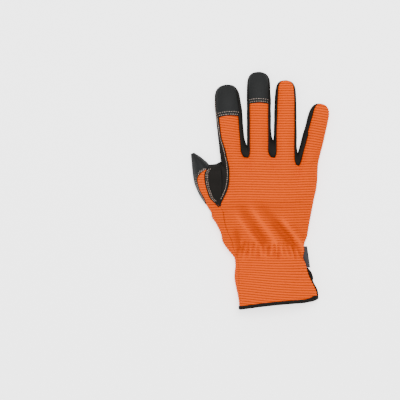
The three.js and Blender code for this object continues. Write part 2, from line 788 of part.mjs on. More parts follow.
function mouthLoop() {
  const top = handColumns.map((column) => backPoint(column, 1));
  const under = [...handColumns].reverse().map((column) => palmPoint(column, 1));
  const rightTop = top[top.length - 1];
  const rightLow = under[0];
  const leftLow = under[under.length - 1];
  const yRight = (rightTop[1] + rightLow[1]) / 2;
  const right = [along(sideRight, "y", "x", yRight), yRight, mix(rightLow[2], rightTop[2], sideHeight)];
  const yLeft = mix(top[0][1], leftLow[1], gussetWidest.share);
  const left = [along(sideLeft, "y", "x", yLeft), yLeft, mix(leftLow[2], top[0][2], gussetWidest.height)];
  const rightWall = wallSection(rightTop, right, rightLow).slice(1, -1);
  const leftWall = wallSection(top[0], left, leftLow, gussetSteps).slice(1, -1);
  return [...top, ...rightWall, ...under, ...leftWall.reverse()].map((point) => new THREE.Vector3(...point));
}

function hemGeometry() {
  const loop = mouthLoop();
  const count = loop.length;
  const sections = loop.map((point, i) => {
    const run = loop[(i + 1) % count].clone().sub(loop[(i + count - 1) % count]);
    const out = new THREE.Vector3(-run.z, 0, run.x).normalize();
    const at = (across, down) => {
      const placed = point.clone().addScaledVector(out, across);
      placed.y -= down;
      return placed;
    };
    const { proud, inside, gap, width, round, shoulder } = hemTape;
    const deep = -clothThickness - inside;
    return [
      at(proud - shoulder, gap), at(proud, gap + round), at(proud, width - round), at(proud - round, width),
      at(deep + round, width), at(deep, width - round), at(deep, gap),
    ];
  });
  return ringGeometry(sections, true);
}

function ventGeometry() {
  const rows = palmRows.slice(vent.firstRow);
  const seam = rows.map((row) => new THREE.Vector3(...palmPoint(acrossHand, row)));
  seam.push(seam[seam.length - 1].clone().add(new THREE.Vector3(0.3, -vent.tail, 0)));
  const half = vent.tapeWidth / 2;
  const sections = seam.map((point, i) => {
    const inner = i === seam.length - 1 ? vent.clearance - vent.tailDraw : vent.clearance;
    const knot = vent.knotRise * Math.exp(-(((point.y - vent.knotY) / vent.knotLength) ** 2));
    const far = vent.clearance + vent.tapeThickness + knot;
    return [[inner, -half], [far, -half], [far, half], [inner, half]].map(
      ([out, up]) => new THREE.Vector3(point.x + out + vent.lean * Math.abs(up), point.y, point.z + up),
    );
  });
  return ringGeometry(sections, false);
}

function tabGeometry() {
  const { topX, topY, bottomX, bottomY, level, thickness, round, clearance, steps } = sideTab;
  const sections = Array.from({ length: steps + 1 }, (_, i) => {
    const share = i / steps;
    const y = mix(topY, bottomY, share);
    const root = along(sideRight, "y", "x", y) + clearance;
    const tip = mix(topX, bottomX, share);
    const half = thickness / 2;
    return [
      new THREE.Vector3(root, y, level - half), new THREE.Vector3(tip - round, y, level - half),
      new THREE.Vector3(tip, y, level), new THREE.Vector3(tip - round, y, level + half),
      new THREE.Vector3(root, y, level + half),
    ];
  });
  return ringGeometry(sections, false);
}

// Assembly
const sidewalls = ["index_middle_sidewall", "middle_ring_sidewall", "ring_little_sidewall"];
addFinger(0, { cap: "index_cap", left: "index_side_strip", right: sidewalls[0] });
addFinger(1, { cap: "middle_cap", left: sidewalls[0], right: sidewalls[1] });
addFinger(2, { left: sidewalls[1], right: sidewalls[2] });
addFinger(3, { left: sidewalls[2], right: "back_panel" });
addHand();
addThumbSide();

const finishes = {
  back_panel: [colours.orange, roughness.knit],
  palm_cuff: [colours.orange, roughness.knit],
  thumb_back: [colours.orange, roughness.knit],
  palm_panel: [colours.black, roughness.leather],
  thumb_palm: [colours.black, roughness.leather],
  index_side_strip: [colours.black, roughness.leather],
  index_middle_sidewall: [colours.black, roughness.leather],
  middle_ring_sidewall: [colours.black, roughness.leather],
  ring_little_sidewall: [colours.black, roughness.leather],
  index_cap: [colours.capBlack, roughness.cap],
  middle_cap: [colours.capBlack, roughness.cap],
  thumb_cap: [colours.capBlack, roughness.cap],
  outer_palm_pad: [colours.black, roughness.leather],
  inner_palm_pad: [colours.black, roughness.leather],
  hem_binding: [colours.binding, roughness.tape],
  side_tab: [colours.tab, roughness.tape],
};

const glove = new THREE.Group();

function addPiece(name, geometry) {
  const [color, rough] = finishes[name];
  const material = new THREE.MeshStandardMaterial({ color, roughness: rough, metalness: 0 });
  const mesh = new THREE.Mesh(geometry, material);
  mesh.name = name;
  glove.add(mesh);
}

const skin = weldSkin();
const skinNormals = cornerNormals(skin.vertices, skin.triangles);
const clothPieces = [...new Set(patches.map(({ piece }) => piece))];
clothPieces.forEach((name) => {
  const own = skin.triangles.filter(({ piece }) => piece === name);
  addPiece(name, clothGeometry(skin.vertices, skinNormals, own));
});
addPiece("outer_palm_pad", outerPadGeometry());
addPiece("inner_palm_pad", innerPadGeometry());
addPiece("hem_binding", fromSolid(toSolid(hemGeometry()).add(toSolid(ventGeometry()))));
addPiece("side_tab", tabGeometry());

export default glove;
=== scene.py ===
"""A right-hand mechanic's work glove, lying palm down with its back up.

The back, the cuff and the thumb strip are orange ribbed knit. The palm, the finger sides, the
thumb and the fingertip caps are black synthetic leather, with two padded patches on the palm.
Sizes in the tables are millimetres. +X points to the little finger, +Y to the fingertips, +Z up.
A mesh is turned to metres when it is made.
"""

import bpy
import numpy as np
from bpy.props import FloatProperty, FloatVectorProperty, PointerProperty
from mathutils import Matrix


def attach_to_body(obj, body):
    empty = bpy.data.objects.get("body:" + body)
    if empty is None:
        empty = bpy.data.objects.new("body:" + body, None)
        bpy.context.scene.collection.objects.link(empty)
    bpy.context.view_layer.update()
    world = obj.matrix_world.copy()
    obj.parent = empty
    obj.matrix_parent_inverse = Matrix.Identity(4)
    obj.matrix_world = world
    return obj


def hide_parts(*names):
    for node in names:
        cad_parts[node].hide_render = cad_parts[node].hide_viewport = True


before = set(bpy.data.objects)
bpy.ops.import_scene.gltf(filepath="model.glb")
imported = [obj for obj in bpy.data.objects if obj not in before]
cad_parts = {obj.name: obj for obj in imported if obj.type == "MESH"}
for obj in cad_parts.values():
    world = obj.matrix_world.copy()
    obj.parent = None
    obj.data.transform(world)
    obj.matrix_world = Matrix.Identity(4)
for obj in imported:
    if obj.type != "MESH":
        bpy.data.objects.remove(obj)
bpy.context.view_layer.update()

bl_info = {
    "name": "Mechanic Glove",
    "version": (1, 0, 0),
    "blender": (4, 5, 0),
    "location": "3D View > Sidebar > Glove",
    "description": "Builds a knit and synthetic leather work glove, panel by panel",
    "category": "Add Mesh",
}

MM = 0.001


# Numbers and tables


def table(columns, rows):
    """A table as a dict of named columns, each a numpy array."""
    return dict(zip(columns.split(), np.array(rows, float).T))


def mix(a, b, t):
    """The straight way from a to b."""
    return a + (b - a) * t


def clamp(t):
    """t held between 0 and 1."""
    return np.clip(t, 0.0, 1.0)


def smooth(t):
    """An ease from 0 to 1: 3t squared less 2t cubed."""
    s = clamp(t)
    return s * s * (3 - 2 * s)


def place(x, y, z):
    """Three coordinates, of any shapes that fit together, as one array of points."""
    return np.stack(np.broadcast_arrays(x, y, z), axis=-1).astype(float)


def unit(vectors):
    """Vectors brought to length 1; one without a length stays so."""
    return vectors / np.maximum(np.linalg.norm(vectors, axis=-1, keepdims=True), 1e-9)


def walked(line):
    """The length walked along a line, or along each row of a grid, up to each of its points."""
    steps = np.linalg.norm(np.diff(line, axis=-2), axis=-1)
    return np.concatenate([np.zeros(steps.shape[:-1] + (1,)), np.cumsum(steps, axis=-1)], axis=-1)


def sideways(line):
    """The direction to the left of a flat line at each of its points: its step, turned a quarter.
    """
    step = np.gradient(line, axis=0)
    return unit(np.stack([-step[:, 1], step[:, 0]], axis=-1))


def hermite(a, b, slope_a, slope_b, t):
    """A cubic from a to b for t from 0 to 1, with the slopes given at its two ends."""
    t2, t3 = t * t, t * t * t
    ends = (2 * t3 - 3 * t2 + 1) * a + (3 * t2 - 2 * t3) * b
    return ends + (t3 - 2 * t2 + t) * slope_a + (t3 - t2) * slope_b


def along(rows, key, column, value):
    """A column as a smooth function of another: cubic pieces, with each row's slope that of the
    chord over its neighbours.
    """
    x, y = rows[key], rows[column]
    if x[1] < x[0]:
        x, y = x[::-1], y[::-1]
    last = len(x) - 1
    before = np.maximum(np.arange(len(x)) - 1, 0)
    after = np.minimum(np.arange(len(x)) + 1, last)
    slope = (y[after] - y[before]) / (x[after] - x[before])
    i = np.clip(np.searchsorted(x, value) - 1, 0, last - 1)
    step = x[i + 1] - x[i]
    return hermite(y[i], y[i + 1], slope[i] * step, slope[i + 1] * step, clamp((value - x[i]) / step))


# Fingers: where each one's axis starts and ends, its widths, how far the back's seams lie in
# from its two sides, how far they do so along a cap, its height, and its ribs' downward slope
FINGERS = table(
    "tip_x tip_y base_x base_y tip_width mid_width base_width "
    "seam_left seam_right cap_left cap_right height rib_slope",
    [
        [-35.4, 109.2, -29.3, 44, 24.5, 28, 26.5, 3.2, 4.4, 1.4, 2.8, 16.5, 0.13],
        [-2, 122.4, -1.5, 44, 23.5, 25, 25, 2.8, 3, 1.4, 2.3, 17, 0.02],
        [25.8, 113.8, 25.4, 44, 20.5, 23, 24, 2.6, 2.4, 2.6, 2.4, 16.5, 0.0],
        [63.1, 89.4, 49.3, 34.8, 20.5, 22.3, 23.5, 5, 3, 4, 2.6, 15, 0.16],
    ],
)
INDEX, MIDDLE, RING, LITTLE = range(4)
PALM_INSET = 2.0
CAP_LENGTH = 31.5
CAP_FLARE = 0.07
CAP_HEM_ARC = 0.014
# Stations of a finger are shares of its length: where its middle width is measured, and over
# what share its height grows out of the hand's and its ribs turn to their own slope
MID_STATION = 0.6
ROOT_BLEND = 0.2
RIB_BLEND = 0.35
FINGER_LENGTH = 88

# Fingertips: the length that narrows, how far and how bluntly it does, how much its seams draw
# together, how far its end bulges, and the length over which its back falls
TIP_ROUND = 12.5
TIP_NARROW = 0.93
TIP_BLUNTNESS = 2.7
TIP_SEAM_DRAW = 0.6
TIP_ARC = 1.0
TIP_SLOPE = 24.0
# From this station on, a wall's edges are tucked under their neighbours by this much in all
TUCK_STATION = 0.96
TUCK = 1.5
TUCK_CENTRE = 0.4
TIP_ARC_POWER = 12
# At its tip a finger keeps this share of its height and loses this share of its crown, and its
# palm side lifts by this much; the power says how square the crown is
TIP_HEIGHT_SHARE = 0.62
TIP_CROWN_LOSS = 0.35
TIP_LIFT = 2.6
CROWN_POWER = 2.2

# Roots between the fingers, from the thumb side to the little-finger side
ROOTS = table("back_x back_y side_x side_y palm_x palm_y", [
    [-35, 33.8, -42.2, 40, -40.6, 44.1],
    [-13.9, 33.8, -13.9, 46.1, -13.9, 44.1],
    [13.4, 33.8, 12.9, 52.3, 12.9, 50.3],
    [38.7, 25.5, 38.2, 38.9, 38.2, 36.9],
    [56.2, 30, 61.4, 36, 59.3, 38],
])
ROOT_SHARE = [0, 0.26, 0.5, 0.75, 1]
CROTCH_CURL = 9.0
CROTCH_TAPER = 14.0
OUTSIDE_BLEND = 25.0

# Heights of the lying glove, and how far the back wraps over the little-finger side
PALM_LIFT = 1.5
ROOT_HEIGHT = 16.4
FINGER_CROWN = 3.6
SIDE_HEIGHT = 0.45
WRAP_INSET = 4.0
PALM_SEAM_INSET = 2.5
VENT_HEIGHT = 8.0
VENT_POWER = 9
VENT_ROW, VENT_RUN = 0.69, 0.08
ARCH_POWER = 2.6
EDGE_SHARE = 0.1
KNUCKLE_ROWS = 0.2

# Edges of the hand seen from above, from the fingers to the hem
BACK_LEFT = table("y x", [
    [33.8, -35], [27.6, -33.4], [19.4, -32.4], [7, -32.9], [-0.7, -35], [-8.4, -38.6], [-16.8, -42.2],
    [-21.8, -38.8], [-31.1, -37.5], [-41.4, -34.5], [-51.7, -29.8], [-61, -27.6], [-68.2, -24.7],
    [-76.4, -23.1], [-87.8, -22.6], [-102.2, -22.4], [-117.6, -20.6],
])
PALM_LEFT = table("y x", [
    [44.1, -40.6], [30.2, -40.6], [16.3, -37.5], [2.9, -36], [-9.5, -35.5], [-18.7, -36.7],
    [-25.4, -39.1],
    [-31.7, -42.1], [-43, -33.4], [-53.8, -24.2], [-61, -18], [-67.2, -12.8], [-73.3, -13.3],
    [-118.7, -14.9],
])
SIDE_LEFT = table("y x", [
    [-15.1, -55.6], [-21.8, -52.5], [-30.1, -48.4], [-38.3, -43.7], [-46.6, -40.6], [-54.8, -38.6],
    [-58.9, -35.5], [-63, -30.8], [-67.2, -27.8], [-75.4, -26.2], [-87.8, -27.2], [-96, -26.2],
    [-104.2, -24.2], [-120.7, -21.6],
])
SIDE_RIGHT = table("y x", [
    [38, 61.9], [33.8, 60.9], [27.6, 59.7], [11.1, 58.8], [0.8, 57.7], [-9.5, 55.2], [-21.8, 52.6],
    [-34.2, 50.5], [-46.6, 48.5], [-54.8, 45.2], [-67.2, 44.3], [-75.4, 46.4], [-87.8, 50], [-96, 53.6],
    [-104.2, 57.2], [-115, 58.2],
])
HEM_LEFT, HEM_RIGHT, HEM_BEND = -118.4, -111.4, 1.8
# The hem's corner at the vent rises by this much, over these powers of the way across and down
HEM_CORNER = {"rise": 3.5, "across_power": 18, "row_power": 10}

# Levels run from the finger roots (0) to the hem (20); a level's row is its share of the way
# there, on the back and on the palm
LEVELS = np.arange(21.0)
BACK_ROWS = np.array([
    0, 0.03, 0.06, 0.1, 0.16, 0.22, 0.28, 0.3342, 0.4, 0.46, 0.52,
    0.58, 0.63, 0.67, 0.7, 0.73, 0.76, 0.8, 0.86, 0.92, 1,
])
PALM_ROWS = np.array([
    0, 0.04, 0.0863, 0.13, 0.17, 0.23, 0.29, 0.35, 0.41, 0.47, 0.53,
    0.585, 0.64, 0.69, 0.73, 0.77, 0.8, 0.84, 0.89, 0.94, 1,
])
WEB_LEVEL, THUMB_END_LEVEL, THUMB_SEAM_LEVEL, CUFF_LEVEL, VENT_LEVEL = 2, 7, 9, 13, 16

# Heights of the back: its thumb-side edge, its crown, its other edge
BACK_HEIGHTS = table("row left crown right", [
    [0, 12.5, 17.5, 11], [0.1, 13.5, 20, 11.5], [0.25, 15, 23, 12], [0.45, 15, 23, 12.5],
    [0.6, 13.5, 20, 11.5], [0.68, 12.5, 18, 11], [0.76, 13.5, 20, 12], [0.88, 15.5, 24, 14.5],
    [1, 17, 26, 16],
])

# Folds across the back below the knuckles, from start to end; a valley is below zero. After
# the broad ones come the narrow creases in their valleys and the lines across the back.
FOLDS = table("start_x start_y end_x end_y rise width", [
    [-21, -18, 5, -55, -1.9, 4.8],
    [-8, -38, 8, -60, -1.2, 3.4],
    [-10, -18, 18, -57, 1.9, 4.0],
    [0, -16, 33, -54, -1.8, 4.6],
    [14, -33, 37, -59, -2.0, 4.0],
    [20, -28, 42, -56, 2.2, 4.4],
    [-26, -24, -2, -57, 1.7, 3.8],
    [-26, -40, -21, -64, -1.9, 3.6],
    [31, -34, 46, -50, -1.0, 3.0],
    [-36, -11.5, 53, -12.5, -0.7, 1.7],
    [-36, -16.5, 30, -17.5, -0.6, 1.9],
])
FOLD_EASE = 0.2
GATHERS = {"count": 8, "y": -65.0, "half_height": 9.0, "depth": 0.5}

# Short seeded folds side by side: the elastic's creases at the wrist, which lean like the broad
# folds on the thumb side, and the pleats that hang from the palm's seam on the cuff
CREASES = {
    "seed": 5, "count": 26, "from_x": -25.0, "to_x": 43.5, "stray_x": 0.7, "y": -60.5, "stray_y": 3.0,
    "half": (4.5, 8.5), "lean": (0.3, -0.45), "raised": 0.75, "rise": (0.9, 1.6), "width": (1.3, 1.9),
}
PLEATS = {
    "seed": 9, "count": 16, "from_x": -12.0, "to_x": 45.0, "stray_x": 0.8, "y": -67.0, "stray_y": None,
    "half": (4.0, 9.0), "lean": (0, 0), "raised": 0.5, "rise": (0.8, 1.4), "width": (1.3, 2.0),
}
LEAN_STRAY = 0.2

# Ribs of the hand: a wave's height and length over two pi, and their slope on the cuff, where
# it starts, over what length it grows, and the x that it turns about
RIB_WAVE = {"height": 0.35, "length": 13}
CUFF_SLOPE = {"slope": 0.07, "from_y": -70, "over": 30, "about_x": 15}

# Soft unevenness of the panels: height of the waves, seed, count, shortest and longest
UNEVEN = {"knit": (0.22, 11, 7, 16, 42), "leather": (0.12, 23, 7, 9, 26), "cap": (0.1, 31, 6, 12, 30)}

# Ribs: how narrow their grooves are, as a power, and how far from a seam they have their full
# depth. Edges: the knit's roll and its distance from the seam, how wide the dip at a seam is, the
# leather's share of the set dip, and how proud a cap stands and how much further it dips.
RIB_POWER, RIB_FADE = 1.3, 1.6
EDGE_ROLL, EDGE_ROLL_AT = 0.16, 1.7
DIP_WIDTH = {"knit": 0.8, "leather": 1.0, "cap": 0.9}
LEATHER_DIP = 0.8
CAP_PROUD, CAP_EXTRA_DIP = 0.25, 0.1

# Painted shade and highlight on the knit: how strongly the wrist's creases are painted darker and
# paler, and the broad painted shade over the back below the knuckles, with the y where it starts
# and ends and the lengths that it eases over
CREASE_SHADE = 1.5
BACK_PAINTED_SHADE = {"depth": 0.55, "from_y": -9, "ease_in": 6, "to_y": -62, "ease_out": 10}

# Thumb outline from the tip down its outer side, and from the tip along its inner edge
THUMB_OUTER = table("x y z", [
    [-71.9, 38.2, 4], [-71.6, 33.3, 4], [-71.1, 28.6, 4], [-70.6, 23.5, 4], [-70.1, 18.3, 4],
    [-69.3, 12.7, 4],
    [-67.9, 6.5, 4], [-65, -0.7, 4], [-62.3, -5.9, 4], [-58.9, -10.8, 4], [-55.6, -15.1, 4],
    [-48.9, -25.4, 3],
])
THUMB_INNER = table("x y z", [
    [-68.4, 39.5, 4], [-60.2, 34.1, 4], [-53, 27.4, 4], [-48.7, 27.7, 4], [-44.8, 28.4, 3.2],
])
# Edge between the thumb cap and the orange strip, and the strip's edge along the web
CAP_HEM = table("x y z", [
    [-54.7, 22.7, 11], [-60.7, 19.1, 12.3], [-64.8, 13.2, 12], [-64.3, 6.5, 12], [-62, -0.2, 12],
    [-59.2, -5.4, 11], [-56.9, -10, 8.5],
])
WEB_EDGE = table("x y z", [
    [-57.3, 18.8, 13], [-57.7, 12.7, 13.8], [-56.9, 6.5, 13.8], [-54.8, -0.7, 13.8],
    [-52, -7.9, 13.8], [-46.8, -13, 14.2],
])
CAP_CROWN = np.array([1.5, 5, 7.5, 4.5, 3.5, 2, 1.2, 1, 1, 0.6, 0])
STRIP_EDGE = table("y x z", [
    [24, -40.8, 9.5], [15.2, -40, 10.3], [7, -40, 11], [-1.2, -40.4, 12], [-9.5, -41, 13.5],
    [-16.8, -42.2, 15],
])
WEB_Y = np.array([24, 20, 14.2, 7.5, 0.3, -6.5, -12])
WEB_DEPTH = 3.0
WEB_END_SHARE = 0.3
STRIP_Y = np.array([24, 13.2, 2.4, -8])
STRIP_CROWN = 1.2
# The index strip is widest at this share of the way down to the palm, and steps out this much
# at each level; the gusset is widest at these shares of the way down in y and up in height
STRIP_WIDEST, STRIP_STEP = 0.9, 0.8
GUSSET_WIDEST = (0.6, 0.4)
UNDER_SHARES = np.array([0, 0.15, 0.5, 0.85, 1])
UNDER_POWER = 6

# Palm pads: the groove between them, their distance from the seam, the height of their level
# margin, the swell, and the distances in from an edge at which the section has a point
PAD_GAP = 0.4
PAD_SIDE_INSET = 3.2
PAD_WELT = 0.5
PAD_TOP, PAD_BOTTOM = PALM_LIFT - 0.2, 0.02
PAD_ROUND, PAD_MARGIN, PAD_SWELL = 0.7, 2.8, 2.2
PAD_STEPS = np.array([0, 0.2, 0.4, 0.7, 1.2, 2.4, 3.0, 3.6, 4.3, 5.2, 7.0])
OUTER_PAD = table("x y", [
    [41.2, 24.1], [16, 24.4], [-3.6, 23.1], [-9.1, 20.3], [-12.5, 15.5], [-12.8, 9.3], [-11.2, 5.2],
    [-7.1, -0.4], [5.4, -15.6], [8.2, -19.7], [9.5, -25.2], [12.3, -39.7], [15.1, -43.5],
    [20.5, -45.9], [31, -47],
])
INNER_PAD = table("x y", [
    [48.2, 10.7], [34.6, 11.8], [4.1, 11.7], [4.1, 9.3], [15.7, -2.5], [17.8, -7.3], [20.5, -19.7],
    [21.6, -26.6], [23.3, -29.7], [27.5, -31.4],
])
PAD_ENDS = {"outer_top": 22.5, "inner_top": 9.0, "inner_bottom": -32.1, "outer_bottom": -49.0}

# Spacing of the grids: rows across the ribs are fine enough to draw each rib
RIB_ROW = 0.42
LEATHER_ROW = 0.9
CAP_ROW = 0.6
PAD_POINTS, MOUTH_POINTS, MOUTH_SIDE_POINTS = 181, 81, 25
BACK_LENGTH, PALM_LENGTH, CUFF_LENGTH = 150, 105, 52
FINGER_COLUMNS = 16
WALL_COLUMNS = 12

# Seams: how far in the relief knows them, and the most that a rim is drawn in, as a share of the
# way to its next points; and half the width over which the knit's loops turn down its sides
SEAM_REACH = 5.0
DRAW_LIMIT = 0.45
CROWN_HALF_WIDTH = 15

# Rows and columns between the given ones on the thumb, and the samples of the index strip
CAP_FINE, STRIP_FINE, WEB_FINE, UNDER_FINE = (8, 6), (20, 4), (9, 8), (6, 8)
INDEX_STRIP_SAMPLES = np.linspace(0, 7, 78)

# Parts of the grids: all but the last rows, where a grid comes to a sharp end, and the rows of
# the thumb's cap, the finger's wall, the index strip and the web that stitches run along
SHARP_END = slice(None, -2)
THUMB_ROWS, WALL_ROWS, STRIP_ROWS, WEB_ROWS = slice(24, None), slice(20, None), slice(1, -6), slice(9, -12)

# Rows of stitches: their distances in from the seam beside them
HEM_STITCHES = (1.6, 4.2)
THUMB_STITCHES = (1.3, 3.2)
STRIP_STITCHES = 2.4
WEB_STITCHES = (1.8, 3.6)
OUTER_PAD_STITCHES = (0.9, 2.6)
INNER_PAD_STITCHES = (-1.4, 0.9)
PALM_SEAM_STITCHES = (1.2, 3.2)
# Where the rows beside the palm's seam run: stations on the index finger, and y on the hand
FINGER_SEAM = np.linspace(0.3, 0.02, 30)
UPPER_SEAM_FROM, LOWER_SEAM = 8, (-32, 1)

# Lights: name, place in metres, size in metres and power in watts
LIGHTS = (("key_light", (0.2, 0.45, 1.7), 1.0, 44.0), ("fill_light", (-0.9, -0.5, 1.5), 1.6, 16.0))
# The picture's middle in metres, and the height in the glove that the frame's width is taken at
VIEW_MIDDLE = (-0.0623, -0.0095)
VIEW_HEIGHT = 0.012


# Settings that a user would change


def size_mm(label, text, default, low, high):
    """A setting in millimetres."""
    return FloatProperty(name=label, description=f"{text}, in mm", default=default, min=low, max=high)


def colour_setting(label, text, default):
    """A colour setting, as linear values."""
    return FloatVectorProperty(name=label, description=text, subtype="COLOR", size=3, default=default)


class GloveCloth(bpy.types.PropertyGroup):
    """Sizes of the cloth and its sewing."""

    thickness: size_mm("Cloth thickness", "Thickness of every panel", 1.3, 0.5, 3.0)
    rib_pitch: size_mm("Rib pitch", "Distance from rib to rib of the knit", 2.6, 1.0, 6.0)
    rib_depth: size_mm("Rib depth", "Depth of the grooves between ribs", 0.45, 0.0, 1.0)
    seam_dip: size_mm("Seam dip", "How far a panel's edge sinks into its seam", 0.25, 0.0, 1.5)
    seam_gap: size_mm("Seam gap", "Half the open line between two panels", 0.12, 0.0, 0.5)
    stitch_length: size_mm("Stitch length", "Length of one stitch", 2.1, 1.0, 6.0)
    thread: size_mm("Thread", "Thickness of the sewing thread", 0.6, 0.2, 1.5)


class GloveColours(bpy.types.PropertyGroup):
    """Colours of the cloth."""

    knit: colour_setting("Knit", "Ribbed knit", (0.58, 0.062, 0.0))
    leather: colour_setting("Leather", "Palm and finger sides", (0.0062, 0.0056, 0.005))
    cap: colour_setting("Caps", "Fingertip caps", (0.0095, 0.0099, 0.0098))


class GloveStage(bpy.types.PropertyGroup):
    """Camera and light."""

    distance: FloatProperty(name="Camera distance", description="Height of the camera over the glove",
                            default=2.2, min=0.5, max=10.0, unit="LENGTH")
    frame_width: FloatProperty(name="Frame width", description="Width of the picture at the glove",
                               default=0.4105, min=0.1, max=2.0, unit="LENGTH")
    floor_grey: FloatProperty(name="Floor", description="Brightness of the floor's colour",
                              default=0.95, min=0.0, max=1.0, subtype="FACTOR")


class GloveSettings(bpy.types.PropertyGroup):
    """All of the glove's settings."""

    cloth: PointerProperty(type=GloveCloth)
    colours: PointerProperty(type=GloveColours)
    stage: PointerProperty(type=GloveStage)


# Finger surfaces


def finger_width(finger, share):
    """Width along a finger: straight from base to middle, then eased to the tip's."""
    lower = mix(finger["base_width"], finger["mid_width"], np.maximum(share, 0) / MID_STATION)
    past_middle = smooth((share - MID_STATION) / (1 - MID_STATION))
    upper = mix(finger["mid_width"], finger["tip_width"], past_middle)
    return np.where(share < MID_STATION, lower, upper)


def seam_inset(finger, index, layer, side, station, to_tip):
    """How far a layer's edge lies in from the finger's side: nothing at the widest line, and less
    along a cap and round the tip than along the rest.
    """
    if layer == "side":
        return 0.0
    draw = 1 - TIP_SEAM_DRAW * to_tip
    if layer == "palm":
        return PALM_INSET * draw
    cap = smooth((station - cap_station(index)) / CAP_FLARE)
    name = "left" if side < 0 else "right"
    return mix(finger[f"seam_{name}"], finger[f"cap_{name}"], cap) * mix(draw, 1, cap / 2)


def finger_height(finger, layer, station, slope_share, u):
    """Height of one layer of a finger: the back is a crown over its two seams that falls towards
    the tip, the palm is flat and lifts at the tip, and the side lies between.
    """
    tip = clamp(slope_share)
    full = mix(ROOT_HEIGHT, finger["height"], smooth(station / ROOT_BLEND))
    crown = mix(full, full * TIP_HEIGHT_SHARE, tip**2)
    drop = FINGER_CROWN * (1 - TIP_CROWN_LOSS * tip)
    floor = TIP_LIFT * tip**3
    seam = crown - drop
    if layer == "palm":
        return floor
    if layer == "side":
        return mix(floor, seam, SIDE_HEIGHT)
    return seam + drop * (1 - np.abs(2 * u - 1) ** CROWN_POWER)


def finger_point(index, layer, station, u):
    """A point of one layer of a finger: back is the upper seam line and what it encloses, side the
    widest line, palm the lower seam line. Station is 0 at the root and 1 at the tip, and u crosses
    from the thumb side. The edge at u 0 and the edge at u 1 each run from their root to the tip at
    the finger's half width, and between them the point is in proportion.
    """
    finger = {name: column[index] for name, column in FINGERS.items()}
    station, u = np.broadcast_arrays(np.asarray(station, float), np.asarray(u, float))
    run_x, run_y = finger["tip_x"] - finger["base_x"], finger["tip_y"] - finger["base_y"]
    length = np.hypot(run_x, run_y)
    axis_x, axis_y = run_x / length, run_y / length
    tip_along = length - TIP_ARC

    def edge(side, root):
        root_x = ROOTS[f"{layer}_x"][root] - finger["base_x"]
        root_y = ROOTS[f"{layer}_y"][root] - finger["base_y"]
        root_along = root_x * axis_x + root_y * axis_y
        root_across = root_x * axis_y - root_y * axis_x
        far = mix(root_along, tip_along, station)
        to_tip = clamp((far - (tip_along - TIP_ROUND)) / TIP_ROUND)
        inset = seam_inset(finger, index, layer, side, station, to_tip)
        narrowing = (1 - (TIP_NARROW * to_tip) ** TIP_BLUNTNESS) ** (1 / TIP_BLUNTNESS)

        def straight(distance):
            return side * (finger_width(finger, distance / tip_along) / 2 - inset) * narrowing

        outside = root in (0, len(ROOT_SHARE) - 1)
        curl = CROTCH_CURL if layer == "back" else CROTCH_TAPER
        t = clamp((far - root_along) / (OUTSIDE_BLEND if outside else curl))
        inside = 1 - np.sqrt(1 - (1 - t) ** 2) if layer == "back" else (1 - t) ** 2
        pull = 1 - smooth(t) if outside else inside
        return far, straight(far) + (root_across - straight(root_along)) * pull

    left_far, left_across = edge(-1, index)
    right_far, right_across = edge(1, index + 1)
    far = mix(left_far, right_far, u) + TIP_ARC * station**TIP_ARC_POWER * (1 - (2 * u - 1) ** 2)
    across = mix(left_across, right_across, u)
    slope_share = (far - (tip_along - TIP_SLOPE)) / TIP_SLOPE
    return place(
        finger["base_x"] + axis_x * far + axis_y * across,
        finger["base_y"] + axis_y * far - axis_x * across,
        finger_height(finger, layer, station, slope_share, u),
    )


def wall_section(upper, widest, lower, t):
    """A side wall's section for t from 0 to 1: a quarter arc from the upper seam out to the widest
    line at a half, and a quarter arc from there in to the lower seam.
    """
    first = clamp(t * 2)[..., None] * np.pi / 2
    second = clamp(t * 2 - 1)[..., None] * np.pi / 2
    top = mix(upper, widest, np.sin(first))[..., :2]
    top_height = mix(widest[..., 2:], upper[..., 2:], np.cos(first))
    bottom = mix(widest, lower, 1 - np.cos(second))[..., :2]
    bottom_height = mix(widest[..., 2:], lower[..., 2:], np.sin(second))
    halves = [np.concatenate(parts, axis=-1) for parts in ((top, top_height), (bottom, bottom_height))]
    return np.where((t <= 0.5)[..., None], *halves)


def finger_wall(index, station, u, t):
    """The side wall of a finger at a station, or round its tip at station 1, with t from the upper
    seam to the lower one.
    """
    layers = [finger_point(index, layer, station, u) for layer in ("back", "side", "palm")]
    return wall_section(*layers, t)


def cap_station(index):
    """The station of a fingertip cap's hem."""
    reach = FINGERS["tip_y"][index] - (ROOTS["back_y"][index] + ROOTS["back_y"][index + 1]) / 2
    return 1 - CAP_LENGTH / reach


# Hand surfaces


def vent_share(row):
    """How far the vent is open at a row of the palm."""
    return smooth((row - VENT_ROW) / VENT_RUN)


def root_line(layer, k, row):
    """The line from finger root k down to the hem: x in proportion between the hand's two edges,
    with the root's own offset fading out as the square of the way left.
    """
    share = ROOT_SHARE[k]
    fade = (1 - row) ** 2
    column_y = ROOTS[f"{layer}_y"]
    root_y = mix(column_y[0], column_y[-1], share)
    hem_y = mix(HEM_RIGHT, HEM_LEFT, (1 - share) ** HEM_BEND)
    y = mix(root_y, hem_y, row) + (column_y[k] - root_y) * fade
    edge, inset = (BACK_LEFT, WRAP_INSET) if layer == "back" else (PALM_LEFT, PALM_SEAM_INSET)
    vent = vent_share(row) if layer == "palm" else 0.0

    def level_x(level):
        right = along(SIDE_RIGHT, "y", "x", level) - inset * (1 - vent)
        return mix(along(edge, "y", "x", level), right, share)

    start = 0.0 if k in (0, 4) else ROOTS[f"{layer}_x"][k] - level_x(column_y[k])
    return level_x(y) + start * fade, y


